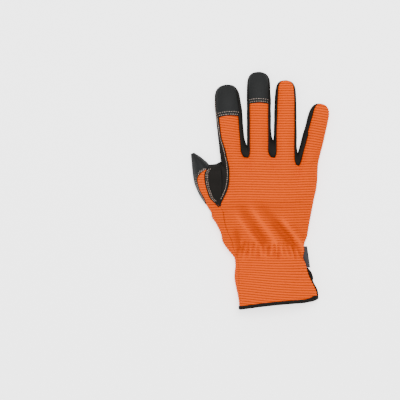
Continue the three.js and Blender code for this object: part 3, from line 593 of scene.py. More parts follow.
def hand_plan(layer, row, across):
    """x and y of the hand's back or palm, with across from 0 to 4, one for each finger: in
    proportion between the two nearest root lines.
    """
    row, across = np.broadcast_arrays(np.asarray(row, float), np.asarray(across, float))
    lines = [root_line(layer, k, row) for k in range(5)]
    x = np.stack([np.broadcast_to(line[0], row.shape) for line in lines])
    y = np.stack([np.broadcast_to(line[1], row.shape) for line in lines])
    finger = np.clip(np.floor(across), 0, 3).astype(int)
    u = across - finger
    picked = [np.take_along_axis(a, finger[None] + step, 0)[0] for a in (x, y) for step in (0, 1)]
    share = across / 4
    corner = HEM_CORNER["rise"] * share ** HEM_CORNER["across_power"] * row ** HEM_CORNER["row_power"]
    return mix(picked[0], picked[1], u), mix(picked[2], picked[3], u) + corner, u, share


def short_folds(kind):
    """Small seeded folds side by side, in turn sunk and raised. They have their middles about the
    table's y, or where it gives no stray they all start at that y.
    """
    draw = np.random.default_rng(kind["seed"])
    count, stray = kind["count"], kind["stray_y"]
    across = (np.arange(count) + 0.5) / count
    x = mix(kind["from_x"], kind["to_x"], across) + draw.uniform(-kind["stray_x"], kind["stray_x"], count)
    y = kind["y"] + draw.uniform(-stray, stray, count) if stray else kind["y"]
    half = draw.uniform(*kind["half"], count)
    start_y = y + half if stray else np.full(count, y)
    lean = mix(*kind["lean"], across) + draw.uniform(-LEAN_STRAY, LEAN_STRAY, count)
    sign = np.where(np.arange(count) % 2 == 0, -1.0, kind["raised"])
    rise = sign * draw.uniform(*kind["rise"], count)
    return {
        "start_x": x + lean * half, "start_y": start_y, "end_x": x - lean * half,
        "end_y": start_y - 2 * half, "rise": rise, "width": draw.uniform(*kind["width"], count),
    }


def fold_rise(x, y, folds):
    """Height that folds add: for each, a bell across its line, eased out past both ends."""
    total = np.zeros(np.shape(x))
    for i in range(len(folds["rise"])):
        fold = {name: column[i] for name, column in folds.items()}
        run_x, run_y = fold["end_x"] - fold["start_x"], fold["end_y"] - fold["start_y"]
        length = np.hypot(run_x, run_y)
        share = ((x - fold["start_x"]) * run_x + (y - fold["start_y"]) * run_y) / length**2
        away = ((x - fold["start_x"]) * run_y - (y - fold["start_y"]) * run_x) / length
        begins = smooth((share + FOLD_EASE) / (2 * FOLD_EASE))
        ends = smooth((1 + FOLD_EASE - share) / (2 * FOLD_EASE))
        total += fold["rise"] * np.exp(-((away / fold["width"]) ** 2)) * begins * ends
    return total


def gather_rise(across, y):
    """Pleats over the wrist elastic: a wave across the hand under a bell along it."""
    wave = np.cos(2 * np.pi * GATHERS["count"] * across)
    return GATHERS["depth"] * wave * np.exp(-(((y - GATHERS["y"]) / GATHERS["half_height"]) ** 2))


def back_sheet(row, across):
    """The back of the hand: an arch between its two edges that grows out of the finger roots'
    crowns over the knuckles, with the folds and gathers on it.
    """
    x, y, u, share = hand_plan("back", row, across)
    left, crown, right = (along(BACK_HEIGHTS, "row", name, row) for name in ("left", "crown", "right"))
    edge = mix(left, right, share)
    arch = edge + (crown - edge) * (1 - np.abs(2 * share - 1) ** ARCH_POWER)
    root = ROOT_HEIGHT - FINGER_CROWN * np.abs(2 * u - 1) ** CROWN_POWER
    inside = smooth(share / EDGE_SHARE) * smooth((1 - share) / EDGE_SHARE)
    knuckles = smooth(row / KNUCKLE_ROWS)
    z = mix(root, arch, knuckles)
    return place(x, y, z + (fold_rise(x, y, FOLDS) + gather_rise(share, y)) * inside * knuckles)


def palm_sheet(row, across):
    """The palm: nearly flat, lifted off its pads, ruffled at the wrist, with its little-finger edge
    risen at the vent.
    """
    x, y, _, share = hand_plan("palm", row, across)
    vent = vent_share(row)
    lift = PALM_LIFT * smooth(row / EDGE_SHARE) + (VENT_HEIGHT - PALM_LIFT) * vent * share**VENT_POWER
    ruffle = np.where(row > 0.5, np.maximum(gather_rise(share, y), 0), 0)
    return place(x, y, lift + ruffle * (1 - vent * share))


def back_row(level):
    """The share of the way to the hem on the back at a level."""
    return np.interp(level, LEVELS, BACK_ROWS)


def palm_row(level):
    """The share of the way to the hem on the palm at a level."""
    return np.interp(level, LEVELS, PALM_ROWS)


def little_side(level, t):
    """The back's wrap over the little-finger side, from the back's edge to the palm seam."""
    top = back_sheet(back_row(level), 4.0)
    low = palm_sheet(palm_row(level), 4.0)
    y = mix(top[..., 1], low[..., 1], 0.5)
    widest = place(along(SIDE_RIGHT, "y", "x", y), y, mix(low[..., 2], top[..., 2], SIDE_HEIGHT))
    root = finger_point(LITTLE, "side", 0.0, 1.0)
    widest = mix(root, widest, clamp(level)[..., None])
    return wall_section(top, widest, low, t)


# Surfaces on the thumb side


def spline(rows, samples):
    """A smooth curve, or sheet of curves, through given rows: cubic pieces between neighbours, each
    row's slope half the step over its neighbours.
    """
    rows = np.asarray(rows, float)
    last = len(rows) - 1
    i = np.clip(np.floor(samples).astype(int), 0, last - 1)
    t = (samples - i).reshape([-1] + [1] * (rows.ndim - 1))
    a, b = rows[i], rows[i + 1]
    slope_a = (b - rows[np.maximum(i - 1, 0)]) / np.where(i > 0, 2, 1).reshape(t.shape)
    slope_b = (rows[np.minimum(i + 2, last)] - a) / np.where(i + 2 <= last, 2, 1).reshape(t.shape)
    return hermite(a, b, slope_a, slope_b, t)


def refine(grid, between):
    """A finer grid through a grid of points, by smooth curves along its rows and then its columns.
    """
    rows, columns = ((size - 1) * steps + 1 for size, steps in zip(grid.shape, between))
    fine = spline(grid, np.linspace(0, len(grid) - 1, rows))
    return spline(fine.swapaxes(0, 1), np.linspace(0, grid.shape[1] - 1, columns)).swapaxes(0, 1)


def points_of(rows):
    """A table of x, y and z as a list of points."""
    return place(rows["x"], rows["y"], rows["z"])


def strip_line(y):
    """The index side strip's lower edge along the web."""
    return place(along(STRIP_EDGE, "y", "x", y), y, along(STRIP_EDGE, "y", "z", y))


def hand_edges():
    """The back's and the palm's edges on the thumb side, one point for each level."""
    return back_sheet(BACK_ROWS, 0.0), palm_sheet(PALM_ROWS, 0.0)


def ruled(left, right, shares, crown=None):
    """Straight lines from each left point to its right one, raised by crown times a parabola."""
    grid = mix(left[:, None], right[:, None], shares[None, :, None])
    if crown is not None:
        grid[..., 2] += crown[:, None] * (1 - (2 * shares - 1) ** 2)
    return grid


def follow_edge(grid, line):
    """Moves a grid's last column onto a line given from high y to low y, point by point at its own
    y, and the columns before it in proportion to the square of their place.
    """
    edge = grid[:, -1]
    target = edge.copy()
    for k in (0, 2):
        target[:, k] = np.interp(-edge[:, 1], -line[:, 1], line[:, k])
    inside = (edge[:, 1] <= line[0, 1]) & (edge[:, 1] >= line[-1, 1])
    shift = np.where(inside[:, None], target - edge, 0)
    weight = np.linspace(0, 1, grid.shape[1]) ** 2
    return grid + shift[:, None] * weight[None, :, None]


def back_edge_line(first, last):
    """The back's thumb-side edge between two levels, as a fine line."""
    return back_sheet(back_row(np.linspace(first, last, 240)), 0.0)


def index_strip_rows():
    """Sections of the index side strip below the finger, from the finger's own wall to the point
    where the web ends.
    """
    upper, lower = hand_edges()
    t = np.linspace(0, 1, WALL_COLUMNS + 1)
    sections = [finger_wall(INDEX, 0.0, 0.0, t)[::-1]]
    for i in range(1, WEB_LEVEL + 1):
        y = mix(upper[i, 1], lower[i, 1], STRIP_WIDEST)
        out = lower[i, 0] - STRIP_STEP * (WEB_LEVEL - i)
        widest = place(out, y, mix(lower[i, 2], upper[i, 2], SIDE_HEIGHT))
        sections.append(wall_section(upper[i], widest, lower[i], t)[::-1])
    lows = np.concatenate([strip_line(STRIP_Y), upper[THUMB_END_LEVEL][None]])
    highs = upper[WEB_LEVEL + 1:WEB_LEVEL + 1 + len(lows)]
    return np.concatenate([sections, ruled(lows, highs, t)])


def thumb_strip_rows():
    """Sections of the orange strip over the thumb and of the gusset below it, down to the hem."""
    upper, lower = hand_edges()
    outer = points_of(THUMB_OUTER)
    hem = np.concatenate([points_of(CAP_HEM), outer[-2:-1]])
    edge = np.concatenate([points_of(CAP_HEM)[:1], points_of(WEB_EDGE), upper[THUMB_END_LEVEL][None]])
    t = np.linspace(0, 1, 5)
    stops = [0, 1, 2, len(hem) - 2, len(hem) - 1]
    crown = np.interp(np.arange(len(hem)), stops, [0, 0.5, STRIP_CROWN, STRIP_CROWN, 0])
    strip = ruled(hem, edge, t, crown)
    tops = upper[THUMB_END_LEVEL + 1:]
    lows = np.concatenate([outer[-1:], lower[THUMB_SEAM_LEVEL:]])
    y = mix(tops[:, 1], lows[:, 1], GUSSET_WIDEST[0])
    widest = place(along(SIDE_LEFT, "y", "x", y), y, mix(lows[:, 2], tops[:, 2], GUSSET_WIDEST[1]))
    gusset = wall_section(tops[:, None], widest[:, None], lows[:, None], np.broadcast_to(t, (len(tops), 5)))
    return np.concatenate([strip, gusset[:, ::-1]])


def thumb_cap_rows():
    """Sections of the thumb cap, from the tip to the strip."""
    outer, inner, hem = points_of(THUMB_OUTER), points_of(THUMB_INNER), points_of(CAP_HEM)
    right = np.concatenate([inner[:3], hem, outer[-2:-1]])
    return ruled(outer[:len(right)], right, np.linspace(0, 1, 5), CAP_CROWN)


def web_rows():
    """Sections of the web between the thumb and the index finger, from its top edge down. It
    hollows as a sine down and across, which dies away towards its lower end.
    """
    upper, lower = hand_edges()
    inner, end = points_of(THUMB_INNER), upper[THUMB_END_LEVEL][None]
    top = np.concatenate([inner[2:], lower[WEB_LEVEL][None]])
    left = np.concatenate([points_of(CAP_HEM)[:1], points_of(WEB_EDGE), end])
    right = np.concatenate([strip_line(WEB_Y), end])
    across = np.linspace(0, 1, len(top))
    rows = ruled(left, right, across)
    down = np.linspace(0, 1, len(rows))[:, None]
    hollow = np.sin(np.pi * down) * np.minimum(1, (1 - down) / WEB_END_SHARE) * np.sin(np.pi * across)
    rows[..., 2] -= WEB_DEPTH * hollow
    return np.concatenate([top[None], rows])


def strip_grid():
    """The orange strip and gusset as a fine grid, without its first rows, which come to a point."""
    return refine(thumb_strip_rows(), STRIP_FINE)[5:]


def web_grid():
    """The web as a fine grid, its left edge laid along the edge of the orange strip."""
    return follow_edge(refine(web_rows(), WEB_FINE)[:, ::-1], strip_grid()[:, -1])[:, ::-1]


def thumb_under_rows():
    """Sections of the thumb's palm side, from its tip to the palm seam: nearly flat, and turned up
    at both edges by a power of the way across.
    """
    _, lower = hand_edges()
    outer, inner = points_of(THUMB_OUTER), points_of(THUMB_INNER)
    right = np.concatenate([inner, lower[WEB_LEVEL:THUMB_SEAM_LEVEL + 1]])
    left = np.concatenate([outer, lower[THUMB_SEAM_LEVEL][None]])
    grid = ruled(left, right, UNDER_SHARES)
    from_left, from_right = (1 - UNDER_SHARES) ** UNDER_POWER, UNDER_SHARES**UNDER_POWER
    grid[..., 2] = left[:, None, 2] * from_left + right[:, None, 2] * from_right
    return grid[:, ::-1]


# Patches, sewing and relief


def patch(points, rib=None, flush=None):
    """A grid of points, with each point's place across the ribs, which is its y unless given, and a
    mark on the points where the panel's edge lies flush with its neighbour's.
    """
    if flush is None:
        flush = np.zeros(points.shape[:2], bool)
    return {"points": points, "rib": points[..., 1] if rib is None else rib, "flush": flush}


def rib_of_finger(index, points, station):
    """Ribs slope down across the finger by its own slope, which fades out at the root."""
    finger = {name: column[index] for name, column in FINGERS.items()}
    x, y = points[..., 0], points[..., 1]
    run = (finger["tip_x"] - finger["base_x"]) / (finger["tip_y"] - finger["base_y"])
    middle = finger["base_x"] + run * (y - finger["base_y"])
    return mix(rib_of_hand(points), y + finger["rib_slope"] * (x - middle), smooth(station / RIB_BLEND))


def rib_of_hand(points):
    """Ribs run across the hand with a slight wave, and slope a little on the cuff."""
    x, y = points[..., 0], points[..., 1]
    slope = CUFF_SLOPE["slope"] * smooth((CUFF_SLOPE["from_y"] - y) / CUFF_SLOPE["over"])
    return y + slope * (x - CUFF_SLOPE["about_x"]) + RIB_WAVE["height"] * np.sin(x / RIB_WAVE["length"])


def grid_quads(rows, columns, close_columns=False):
    """Corner numbers of the four-sided faces of a grid."""
    index = np.arange(rows * columns).reshape(rows, columns)
    if close_columns:
        index = np.concatenate([index, index[:, :1]], axis=1)
    corners = [index[:-1, :-1], index[1:, :-1], index[1:, 1:], index[:-1, 1:]]
    return np.stack(corners, axis=-1).reshape(-1, 4)


# Points this near each other are sewn into one; the shift keeps the cells' edges off round numbers
WELD = 0.004
WELD_SHIFT = 0.371


def sew(patches):
    """Joins patches that share points into one sheet: points that fall in the same small cell
    become one, and faces that close up to a line go.
    """
    points, rib, flush = (
        np.concatenate([p[name].reshape(-1, *p[name].shape[2:]) for p in patches])
        for name in ("points", "rib", "flush")
    )
    sizes = [p["rib"].size for p in patches]
    starts = np.cumsum([0] + sizes[:-1])
    quads = np.concatenate([grid_quads(*p["rib"].shape) + s for p, s in zip(patches, starts)])
    cells = np.floor(points / WELD + WELD_SHIFT).astype(np.int64) + (1 << 19)
    key = (cells[:, 0] << 42) | (cells[:, 1] << 21) | cells[:, 2]
    _, first, inverse = np.unique(key, return_index=True, return_inverse=True)
    quads = inverse.reshape(-1)[quads]
    kinds = (np.diff(np.sort(quads, axis=1), axis=1) > 0).sum(axis=1) + 1
    return {"points": points[first], "rib": rib[first], "flush": flush[first], "quads": quads[kinds > 2]}


def normals_of(points, quads):
    """Each point's normal: the sum of the crossed diagonals of the faces round it, to length 1."""
    diagonals = [points[quads[:, k + 2]] - points[quads[:, k]] for k in (0, 1)]
    face = np.cross(*diagonals)
    total = np.zeros_like(points)
    for corner in range(4):
        np.add.at(total, quads[:, corner], face)
    return unit(total)


def sides_of(quads):
    """The sides of all faces, as pairs of corners in the order in which the face passes them."""
    pairs = np.concatenate([quads[:, [i, (i + 1) % 4]] for i in range(4)])
    return pairs[pairs[:, 0] != pairs[:, 1]]


def edges_of(quads, count):
    """All edges once each, and the points on the sheet's open edges."""
    pairs = np.sort(sides_of(quads), axis=1)
    codes, used = np.unique(pairs[:, 0] * count + pairs[:, 1], return_counts=True)
    edges = np.stack([codes // count, codes % count], axis=1)
    return edges, edges[used == 1]


def seam_distance(points, edges, rim, reach):
    """How far each point lies from an open edge, along the mesh, up to reach: the rim starts at 0
    and each pass carries the least sum one edge further.
    """
    far = np.full(len(points), reach)
    far[np.unique(rim)] = 0
    a, b = edges[:, 0], edges[:, 1]
    length = np.linalg.norm(points[a] - points[b], axis=1)
    for _ in range(int(reach / RIB_ROW) + 2):
        np.minimum.at(far, a, far[b] + length)
        np.minimum.at(far, b, far[a] + length)
    return far


def draw_in_rim(points, edges, rim, amount):
    """Moves the open edges in by amount, so that two panels leave a fine open line at their seam,
    but never by half the way to the next point.
    """
    on_rim = np.zeros(len(points), bool)
    on_rim[np.unique(rim)] = True
    inward = np.zeros_like(points)
    for a, b in (edges.T, edges.T[::-1]):
        step = on_rim[a] & ~on_rim[b]
        np.add.at(inward, a[step], points[b[step]] - points[a[step]])
    length = np.linalg.norm(inward, axis=1, keepdims=True)
    return points + unit(inward) * np.minimum(amount, DRAW_LIMIT * length)


def unevenness(kind, x, y):
    """The soft unevenness of a kind of panel: the mean of waves in seeded directions and lengths.
    """
    height, seed, count, shortest, longest = UNEVEN[kind]
    draw = np.random.default_rng(seed)
    turn = draw.random(count) * np.pi
    length = draw.uniform(shortest, longest, count)
    phase = draw.random(count)
    total = np.zeros(np.shape(x))
    for i in range(count):
        along_wave = x * np.cos(turn[i]) + y * np.sin(turn[i])
        total += np.sin(2 * np.pi * (along_wave / length[i] + phase[i]))
    return height * total / np.sqrt(count)


def upper_side(z):
    """How far a point counts as the glove's upper side, by its height."""
    return smooth((z - 3) / 4)


def wrist_relief(points):
    """The elastic's creases, on the upper side and the sides of the wrist, and the palm's pleats on
    its under side.
    """
    x, y, z = points.T
    above = upper_side(z)
    creases, pleats = (fold_rise(x, y, short_folds(kind)) for kind in (CREASES, PLEATS))
    return creases * above + pleats * (1 - above)


def bell(far, middle, width):
    """A bell of height 1 at a distance from the seam."""
    return np.exp(-(((far - middle) / width) ** 2))


def knit_relief(cloth, far, settings):
    """The knit's surface. Its ribs are a raised cosine of the place across them, deepest between
    two ribs, and flatten towards the sewn edge. To them come a soft unevenness, the wrist's
    creases, and edges that roll over and down into their seams.
    """
    turn = 2 * np.pi * cloth["rib"] / settings.rib_pitch
    ribs = -settings.rib_depth * (0.5 - 0.5 * np.cos(turn)) ** RIB_POWER * smooth(far / RIB_FADE)
    edge = EDGE_ROLL * bell(far, EDGE_ROLL_AT, DIP_WIDTH["knit"])
    edge -= settings.seam_dip * bell(far, 0, DIP_WIDTH["knit"])
    return ribs + unevenness("knit", *cloth["points"][:, :2].T) + edge + wrist_relief(cloth["points"])


def leather_relief(cloth, far, settings):
    """Synthetic leather: a soft unevenness, and edges that roll into their seams."""
    x, y, z = cloth["points"].T
    dip = LEATHER_DIP * settings.seam_dip * bell(far, 0, DIP_WIDTH["leather"])
    return unevenness("leather", x, y + z) - dip


def cap_relief(cloth, far, settings):
    """Cap material: stiffer, with a turned hem that stands a little proud and then falls to the
    seam.
    """
    x, y, z = cloth["points"].T
    dip = (settings.seam_dip + CAP_EXTRA_DIP) * bell(far, 0, DIP_WIDTH["cap"])
    return unevenness("cap", x, y + z) + CAP_PROUD - dip


# Making objects


def linear(code):
    """An sRGB hex colour as linear red, green, blue and a full alpha."""
    parts = np.array([int(code[i:i + 2], 16) for i in (1, 3, 5)]) / 255
    values = np.where(parts <= 0.04045, parts / 12.92, ((parts + 0.055) / 1.055) ** 2.4)
    return (*values.tolist(), 1.0)


def mesh_object(name, points, faces, material, uv=None, fold=None):
    """A smooth mesh object at the origin, from points in millimetres and lists of corners, with the
    place on the cloth as its UV map and, as an attribute, the heights of its folds and creases and a
    broad darkening over the back, which the knit's material turns into painted shade and highlight.
    """
    mesh = bpy.data.meshes.new(name)
    mesh.from_pydata((np.asarray(points) * MM).tolist(), [], faces)
    mesh.polygons.foreach_set("use_smooth", np.ones(len(mesh.polygons), bool))
    if uv is not None:
        layer = mesh.uv_layers.new(name="cloth")
        corners = np.zeros(len(mesh.loops), np.int32)
        mesh.loops.foreach_get("vertex_index", corners)
        layer.data.foreach_set("uv", uv[corners].astype(np.float32).ravel())
    if fold is not None:
        values = mesh.attributes.new("fold", "FLOAT", "POINT").data
        values.foreach_set("value", fold.astype(np.float32))
    mesh.materials.append(material)
    mesh.update()
    obj = bpy.data.objects.new(name, mesh)
    bpy.context.scene.collection.objects.link(obj)
    if mesh.validate():
        raise RuntimeError(f"{name} has faces that Blender had to mend")
    return obj


def face_list(quads):
    """Corner lists, with a face whose corners meet made a triangle."""
    same = [quads[:, i] == quads[:, (i + 1) % 4] for i in range(4)]
    plain = ~np.any(same, axis=0)
    faces = quads[plain].tolist()
    for i in range(4):
        keep = [c for c in range(4) if c != i]
        faces += quads[same[i]][:, keep].tolist()
    return faces


def attach(obj, nodes=()):
    """Rides the piece on the glove's one body and what it stands for."""
    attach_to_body(obj, "root")
    if nodes:
        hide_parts(*nodes)
    return obj


def evened(normals, edges, passes=3):
    """Normals evened out: each becomes the sum of itself and its neighbours', to length 1, a few
    times over.
    """
    for _ in range(passes):
        total = normals.copy()
        np.add.at(total, edges[:, 0], normals[edges[:, 1]])
        np.add.at(total, edges[:, 1], normals[edges[:, 0]])
        normals = unit(total)
    return normals


def rim_walls(quads, count):
    """Faces that join the open edges of a sheet's face to those of its back, whose points are
    numbered from count on: each runs against the way that its one face passes the edge.
    """
    pairs = sides_of(quads)
    codes = pairs.min(axis=1) * count + pairs.max(axis=1)
    _, first, used = np.unique(codes, return_index=True, return_counts=True)
    a, b = pairs[first[used == 1]].T
    return np.stack([b, a, a + count, b + count], axis=1)


def cloth_places(cloth):
    """The place of each point on the flat cloth. Down it is the place across the ribs. Across it is
    x, less the height towards the side that the point lies on.
    """
    x, _, z = cloth["points"].T
    return np.stack([x - np.tanh(x / CROWN_HALF_WIDTH) * z, cloth["rib"]], axis=1)


def painted_fold_shade(points):
    """What the knit's painted shade and highlight read: the folds' height, the creases', and a broad
    painted shade over the back below the knuckles.
    """
    x, y, z = points.T
    above = upper_side(z)
    fold = fold_rise(x, y, FOLDS) * above + CREASE_SHADE * wrist_relief(points)
    # A broad painted shade over the back below the knuckles, on the upper side only
    begun = smooth((BACK_PAINTED_SHADE["from_y"] - y) / BACK_PAINTED_SHADE["ease_in"])
    return fold - BACK_PAINTED_SHADE["depth"] * begun * smooth((y - BACK_PAINTED_SHADE["to_y"]) / BACK_PAINTED_SHADE["ease_out"]) * above


# Relief, material and slot of each kind of panel
PANEL_KINDS = {
    "knit": (knit_relief, "knit", "orange_knit"),
    "leather": (leather_relief, "palm", "black_leather"),
    "cap": (cap_relief, "cap", "cap_rubber"),
}


def make_panel(name, patches, kind, *nodes):
    """Sews patches into a panel, gives it its relief along the normals, and its thickness inwards.
    """
    relief, material_kind, slot = PANEL_KINDS[kind]
    settings = bpy.context.scene.glove.cloth
    cloth = sew(patches)
    quads, count = cloth["quads"], len(cloth["points"])
    edges, rim = edges_of(quads, count)
    rim = rim[~cloth["flush"][rim].all(axis=1)]
    far = seam_distance(cloth["points"], edges, rim, SEAM_REACH)
    normals = normals_of(cloth["points"], quads)
    points = cloth["points"] + normals * relief(cloth, far, settings)[:, None]
    points = draw_in_rim(points, edges, rim, settings.seam_gap)
    inside = points - evened(normals, edges) * settings.thickness
    faces = face_list(np.concatenate([quads, quads[:, ::-1] + count, rim_walls(quads, count)]))
    # Each point carries the fold values that the knit's material turns into painted shade and highlight
    obj = mesh_object(
        name, np.concatenate([points, inside]), faces, material(material_kind),
        np.tile(cloth_places(cloth), (2, 1)), np.tile(painted_fold_shade(cloth["points"]), 2),
    )
    return attach(obj, nodes)


def stations_between(top, bottom, length, spacing):
    """Even stations from top down to bottom, about spacing apart."""
    count = max(int(round(abs(top - bottom) * length / spacing)), 1)
    return np.linspace(top, bottom, count + 1)[:, None]


def finger_back_patch(index, top, bottom, spacing):
    """The back of a finger between two stations; a cap's hem, where the finger has one, hangs down
    at its two ends as a parabola.
    """
    u = np.linspace(0, 1, FINGER_COLUMNS + 1)[None]
    share = stations_between(0, 1, FINGER_LENGTH * abs(top - bottom), spacing)
    arc = CAP_HEM_ARC * (2 * u - 1) ** 2
    first = top - arc * (top == cap_station(index))
    last = bottom - arc * (bottom == cap_station(index))
    station = mix(first, last, share)
    points = finger_point(index, "back", station, u)
    return patch(points, rib_of_finger(index, points, station))


def tuck_tip(wall, station, amount):
    """Lowers a wall's upper edge and raises its lower one as it comes round the fingertip, where it
    stands upright, so that it ends under its neighbours' thickness.
    """
    z = wall[..., 2]
    high, low = z.max(axis=-1, keepdims=True), z.min(axis=-1, keepdims=True)
    place_in = (z - low) / (high - low)
    come_round = smooth((station - TUCK_STATION) / (1 - TUCK_STATION))
    wall[..., 2] = z - amount * come_round * (place_in - TUCK_CENTRE)
    return wall


def finger_wall_patches(index, side, spacing, tuck=TUCK):
    """One side wall of a finger and its half of the wall round the tip."""
    station = stations_between(1, 0, FINGER_LENGTH, spacing)
    t = np.linspace(0, 1, WALL_COLUMNS + 1)[None]
    u = 0.0 if side < 0 else 1.0
    wall = finger_wall(index, station, u, np.broadcast_to(t, (len(station), t.shape[1])))
    half = FINGER_COLUMNS // 2 + 1
    round_u = np.linspace(0, 0.5, half) if side < 0 else np.linspace(0.5, 1, half)
    tip = finger_wall(index, 1.0, round_u[:, None], np.broadcast_to(t, (half, t.shape[1])))
    wall, tip = tuck_tip(wall, station, tuck), tuck_tip(tip, 1.0, tuck)
    wall_rib = rib_of_finger(index, wall, station)
    tip_rib = rib_of_finger(index, tip, 1.0)
    flush = np.zeros(tip.shape[:2], bool)
    flush[-1 if side < 0 else 0] = True
    if side < 0:
        wall, wall_rib = wall[:, ::-1], wall_rib[:, ::-1]
    return [patch(wall, wall_rib), patch(tip, tip_rib, flush)]


# Materials


def feed(tree, socket, value):
    """Gives an input a value, or a link where the value is another node's output."""
    if isinstance(value, bpy.types.NodeSocket):
        tree.links.new(value, socket)
    else:
        socket.default_value = value


def add_node(tree, kind, inputs=None, **settings):
    """Adds a node, sets its attributes, and gives each named input a value or a link."""
    made = tree.nodes.new(kind)
    for name, value in settings.items():
        setattr(made, name, value)
    for name, value in (inputs or {}).items():
        feed(tree, made.inputs[name], value)
    return made


def per_mm(size):
    """Texture scale for a feature of that size in millimetres, on Object coordinates."""
    return 1.0 / (size * MM)


def object_place(tree):
    """The point on the object, in its own metres."""
    return add_node(tree, "ShaderNodeTexCoord").outputs["Object"]


def noise(tree, where, size, detail, roughness=0.5):
    """Soft noise in lumps of that size in millimetres."""
    inputs = {"Vector": where, "Scale": per_mm(size), "Detail": detail, "Roughness": roughness}
    return add_node(tree, "ShaderNodeTexNoise", inputs).outputs["Fac"]


def blend(tree, factor, first, second):
    """A colour mixed by a factor."""
    inputs = {"Factor": factor, 6: first, 7: second}
    return add_node(tree, "ShaderNodeMix", inputs, data_type="RGBA").outputs[2]


def maths(tree, operation, *values):
    """One step of arithmetic."""
    return add_node(tree, "ShaderNodeMath", dict(enumerate(values)), operation=operation).outputs[0]


def ranged(tree, value, start, end, low=0.0, high=1.0):
    """A value brought from one range to another and held within it."""
    inputs = {"Value": value, "From Min": start, "From Max": end, "To Min": low, "To Max": high}
    return add_node(tree, "ShaderNodeMapRange", inputs).outputs["Result"]


def tinted(colour, *times):
    """A colour with each part taken so many times, and a full alpha."""
    return (*(min(part * time, 1.0) for part, time in zip(colour, times)), 1.0)


def start_material(name):
    """An empty material with a Principled shader, and its tree."""
    made = bpy.data.materials.new(name)
    made.use_nodes = True
    return made, made.node_tree


def finish_material(tree, colour, roughness, shine, height=None, strength=0.0, depth=0.0):
    """Feeds the shader, with a bump of that depth in millimetres where there is a height."""
    inputs = tree.nodes["Principled BSDF"].inputs
    feed(tree, inputs["Base Color"], colour)
    feed(tree, inputs["Roughness"], roughness)
    feed(tree, inputs["Specular IOR Level"], shine)
    if height is not None:
        bumps = {"Height": height, "Strength": strength, "Distance": depth * MM}
        feed(tree, inputs["Normal"], add_node(tree, "ShaderNodeBump", bumps).outputs["Normal"])


def ribbed_knit(name):
    """Ribbed polyester stretch knit, piece-dyed orange: matt, with painted shade, darker and redder, in
    the grooves between ribs, in the hollows of folds and over the back below the knuckles, a painted
    highlight on the folds' crests, and fine loops along each rib.
    """
    settings, colour = bpy.context.scene.glove.cloth, bpy.context.scene.glove.colours.knit
    made, tree = start_material(name)
    cloth = add_node(tree, "ShaderNodeUVMap", uv_map="cloth").outputs["UV"]
    across_ribs = add_node(tree, "ShaderNodeSeparateXYZ", {0: cloth}).outputs["Y"]
    turn = maths(tree, "MULTIPLY", across_ribs, 2 * np.pi / settings.rib_pitch)
    # The grooves between the ribs are painted darker: painted shade on top of the ribs' own relief
    groove = ranged(tree, maths(tree, "COSINE", turn), 0.15, -0.85)
    where = object_place(tree)
    patchy, yarn = noise(tree, where, 26, 3.0), noise(tree, where, 1.4, 2.0)
    base, worn = tinted(colour, 1, 1, 1), tinted(colour, 1.06, 1.12, 1.2)
    # A painted shade colour for the grooves and the folds' hollows, and a painted highlight colour for the
    # folds' crests
    shade_tone, highlight_tone = tinted(colour, 0.5, 0.46, 0.4), tinted(colour, 1.25, 1.4, 1)
    ribbed = blend(tree, maths(tree, "MULTIPLY", groove, 0.9), blend(tree, patchy, base, worn), shade_tone)
    # The fold attribute paints shade into the folds' hollows and over the back below the knuckles, and a
    # highlight onto their crests
    fold = add_node(tree, "ShaderNodeAttribute", attribute_name="fold").outputs["Fac"]
    sunk = blend(tree, ranged(tree, fold, -0.2, -2.6, high=0.65), ribbed, shade_tone)
    tone = blend(tree, ranged(tree, fold, 0.1, 1.8, high=0.7), sunk, highlight_tone)
    # A wave texture has about 3.2 bands to the unit, so this is one loop in 1.1 mm
    waves_of = {"Vector": cloth, "Scale": 0.31 / 1.1, "Distortion": 1.2, "Detail": 1.0}
    loops = add_node(tree, "ShaderNodeTexWave", waves_of, bands_direction="X").outputs["Fac"]
    finish_material(tree, tone, 0.88, 0.02, maths(tree, "ADD", loops, yarn), 0.5, 0.12)
    return made


def leather(name, colour_name, grain, roughness, shine, lift):
    """A microfibre synthetic leather: a near-black ground with paler mottling, a fine grain and a
    faint shine.
    """
    colour = getattr(bpy.context.scene.glove.colours, colour_name)
    made, tree = start_material(name)
    where = object_place(tree)
    fine = noise(tree, where, grain, 3.0, 0.6)
    cells = add_node(tree, "ShaderNodeTexVoronoi", {"Vector": where, "Scale": per_mm(grain * 1.6)})
    ground, pale = (tinted(colour, times, times, times) for times in (1, lift))
    tone = blend(tree, noise(tree, where, 14, 4.0), ground, pale)
    rough = ranged(tree, fine, 0.0, 1.0, roughness - 0.08, roughness + 0.08)
    height = maths(tree, "ADD", fine, cells.outputs["Distance"])
    finish_material(tree, tone, rough, shine, height, 0.45, 0.1)
    return made


def woven_tape(name, code, thread_size):
    """Woven polyester tape: matt, with a fine weave that catches a little light."""
    made, tree = start_material(name)
    where = object_place(tree)
    weave = add_node(tree, "ShaderNodeTexChecker", {"Vector": where, "Scale": per_mm(thread_size)})
    dark = linear(code)
    tone = blend(tree, noise(tree, where, 1.2, 2.0), dark, tinted(dark, 1.7, 1.7, 1.7))
    finish_material(tree, tone, 0.8, 0.05, weave.outputs["Fac"], 0.5, 0.08)
    return made


def sewing_thread(name, code):
    """Spun polyester thread, two-ply: matt with a faint sheen, its twist drawn as fine bands."""
    made, tree = start_material(name)
    waves_of = {"Vector": object_place(tree), "Scale": per_mm(0.5) * 0.05, "Distortion": 2.0}
    twist = add_node(tree, "ShaderNodeTexWave", waves_of, bands_direction="DIAGONAL").outputs["Fac"]
    bright = linear(code)
    finish_material(tree, blend(tree, twist, tinted(bright, 0.6, 0.6, 0.6), bright), 0.7, 0.1)
    return made


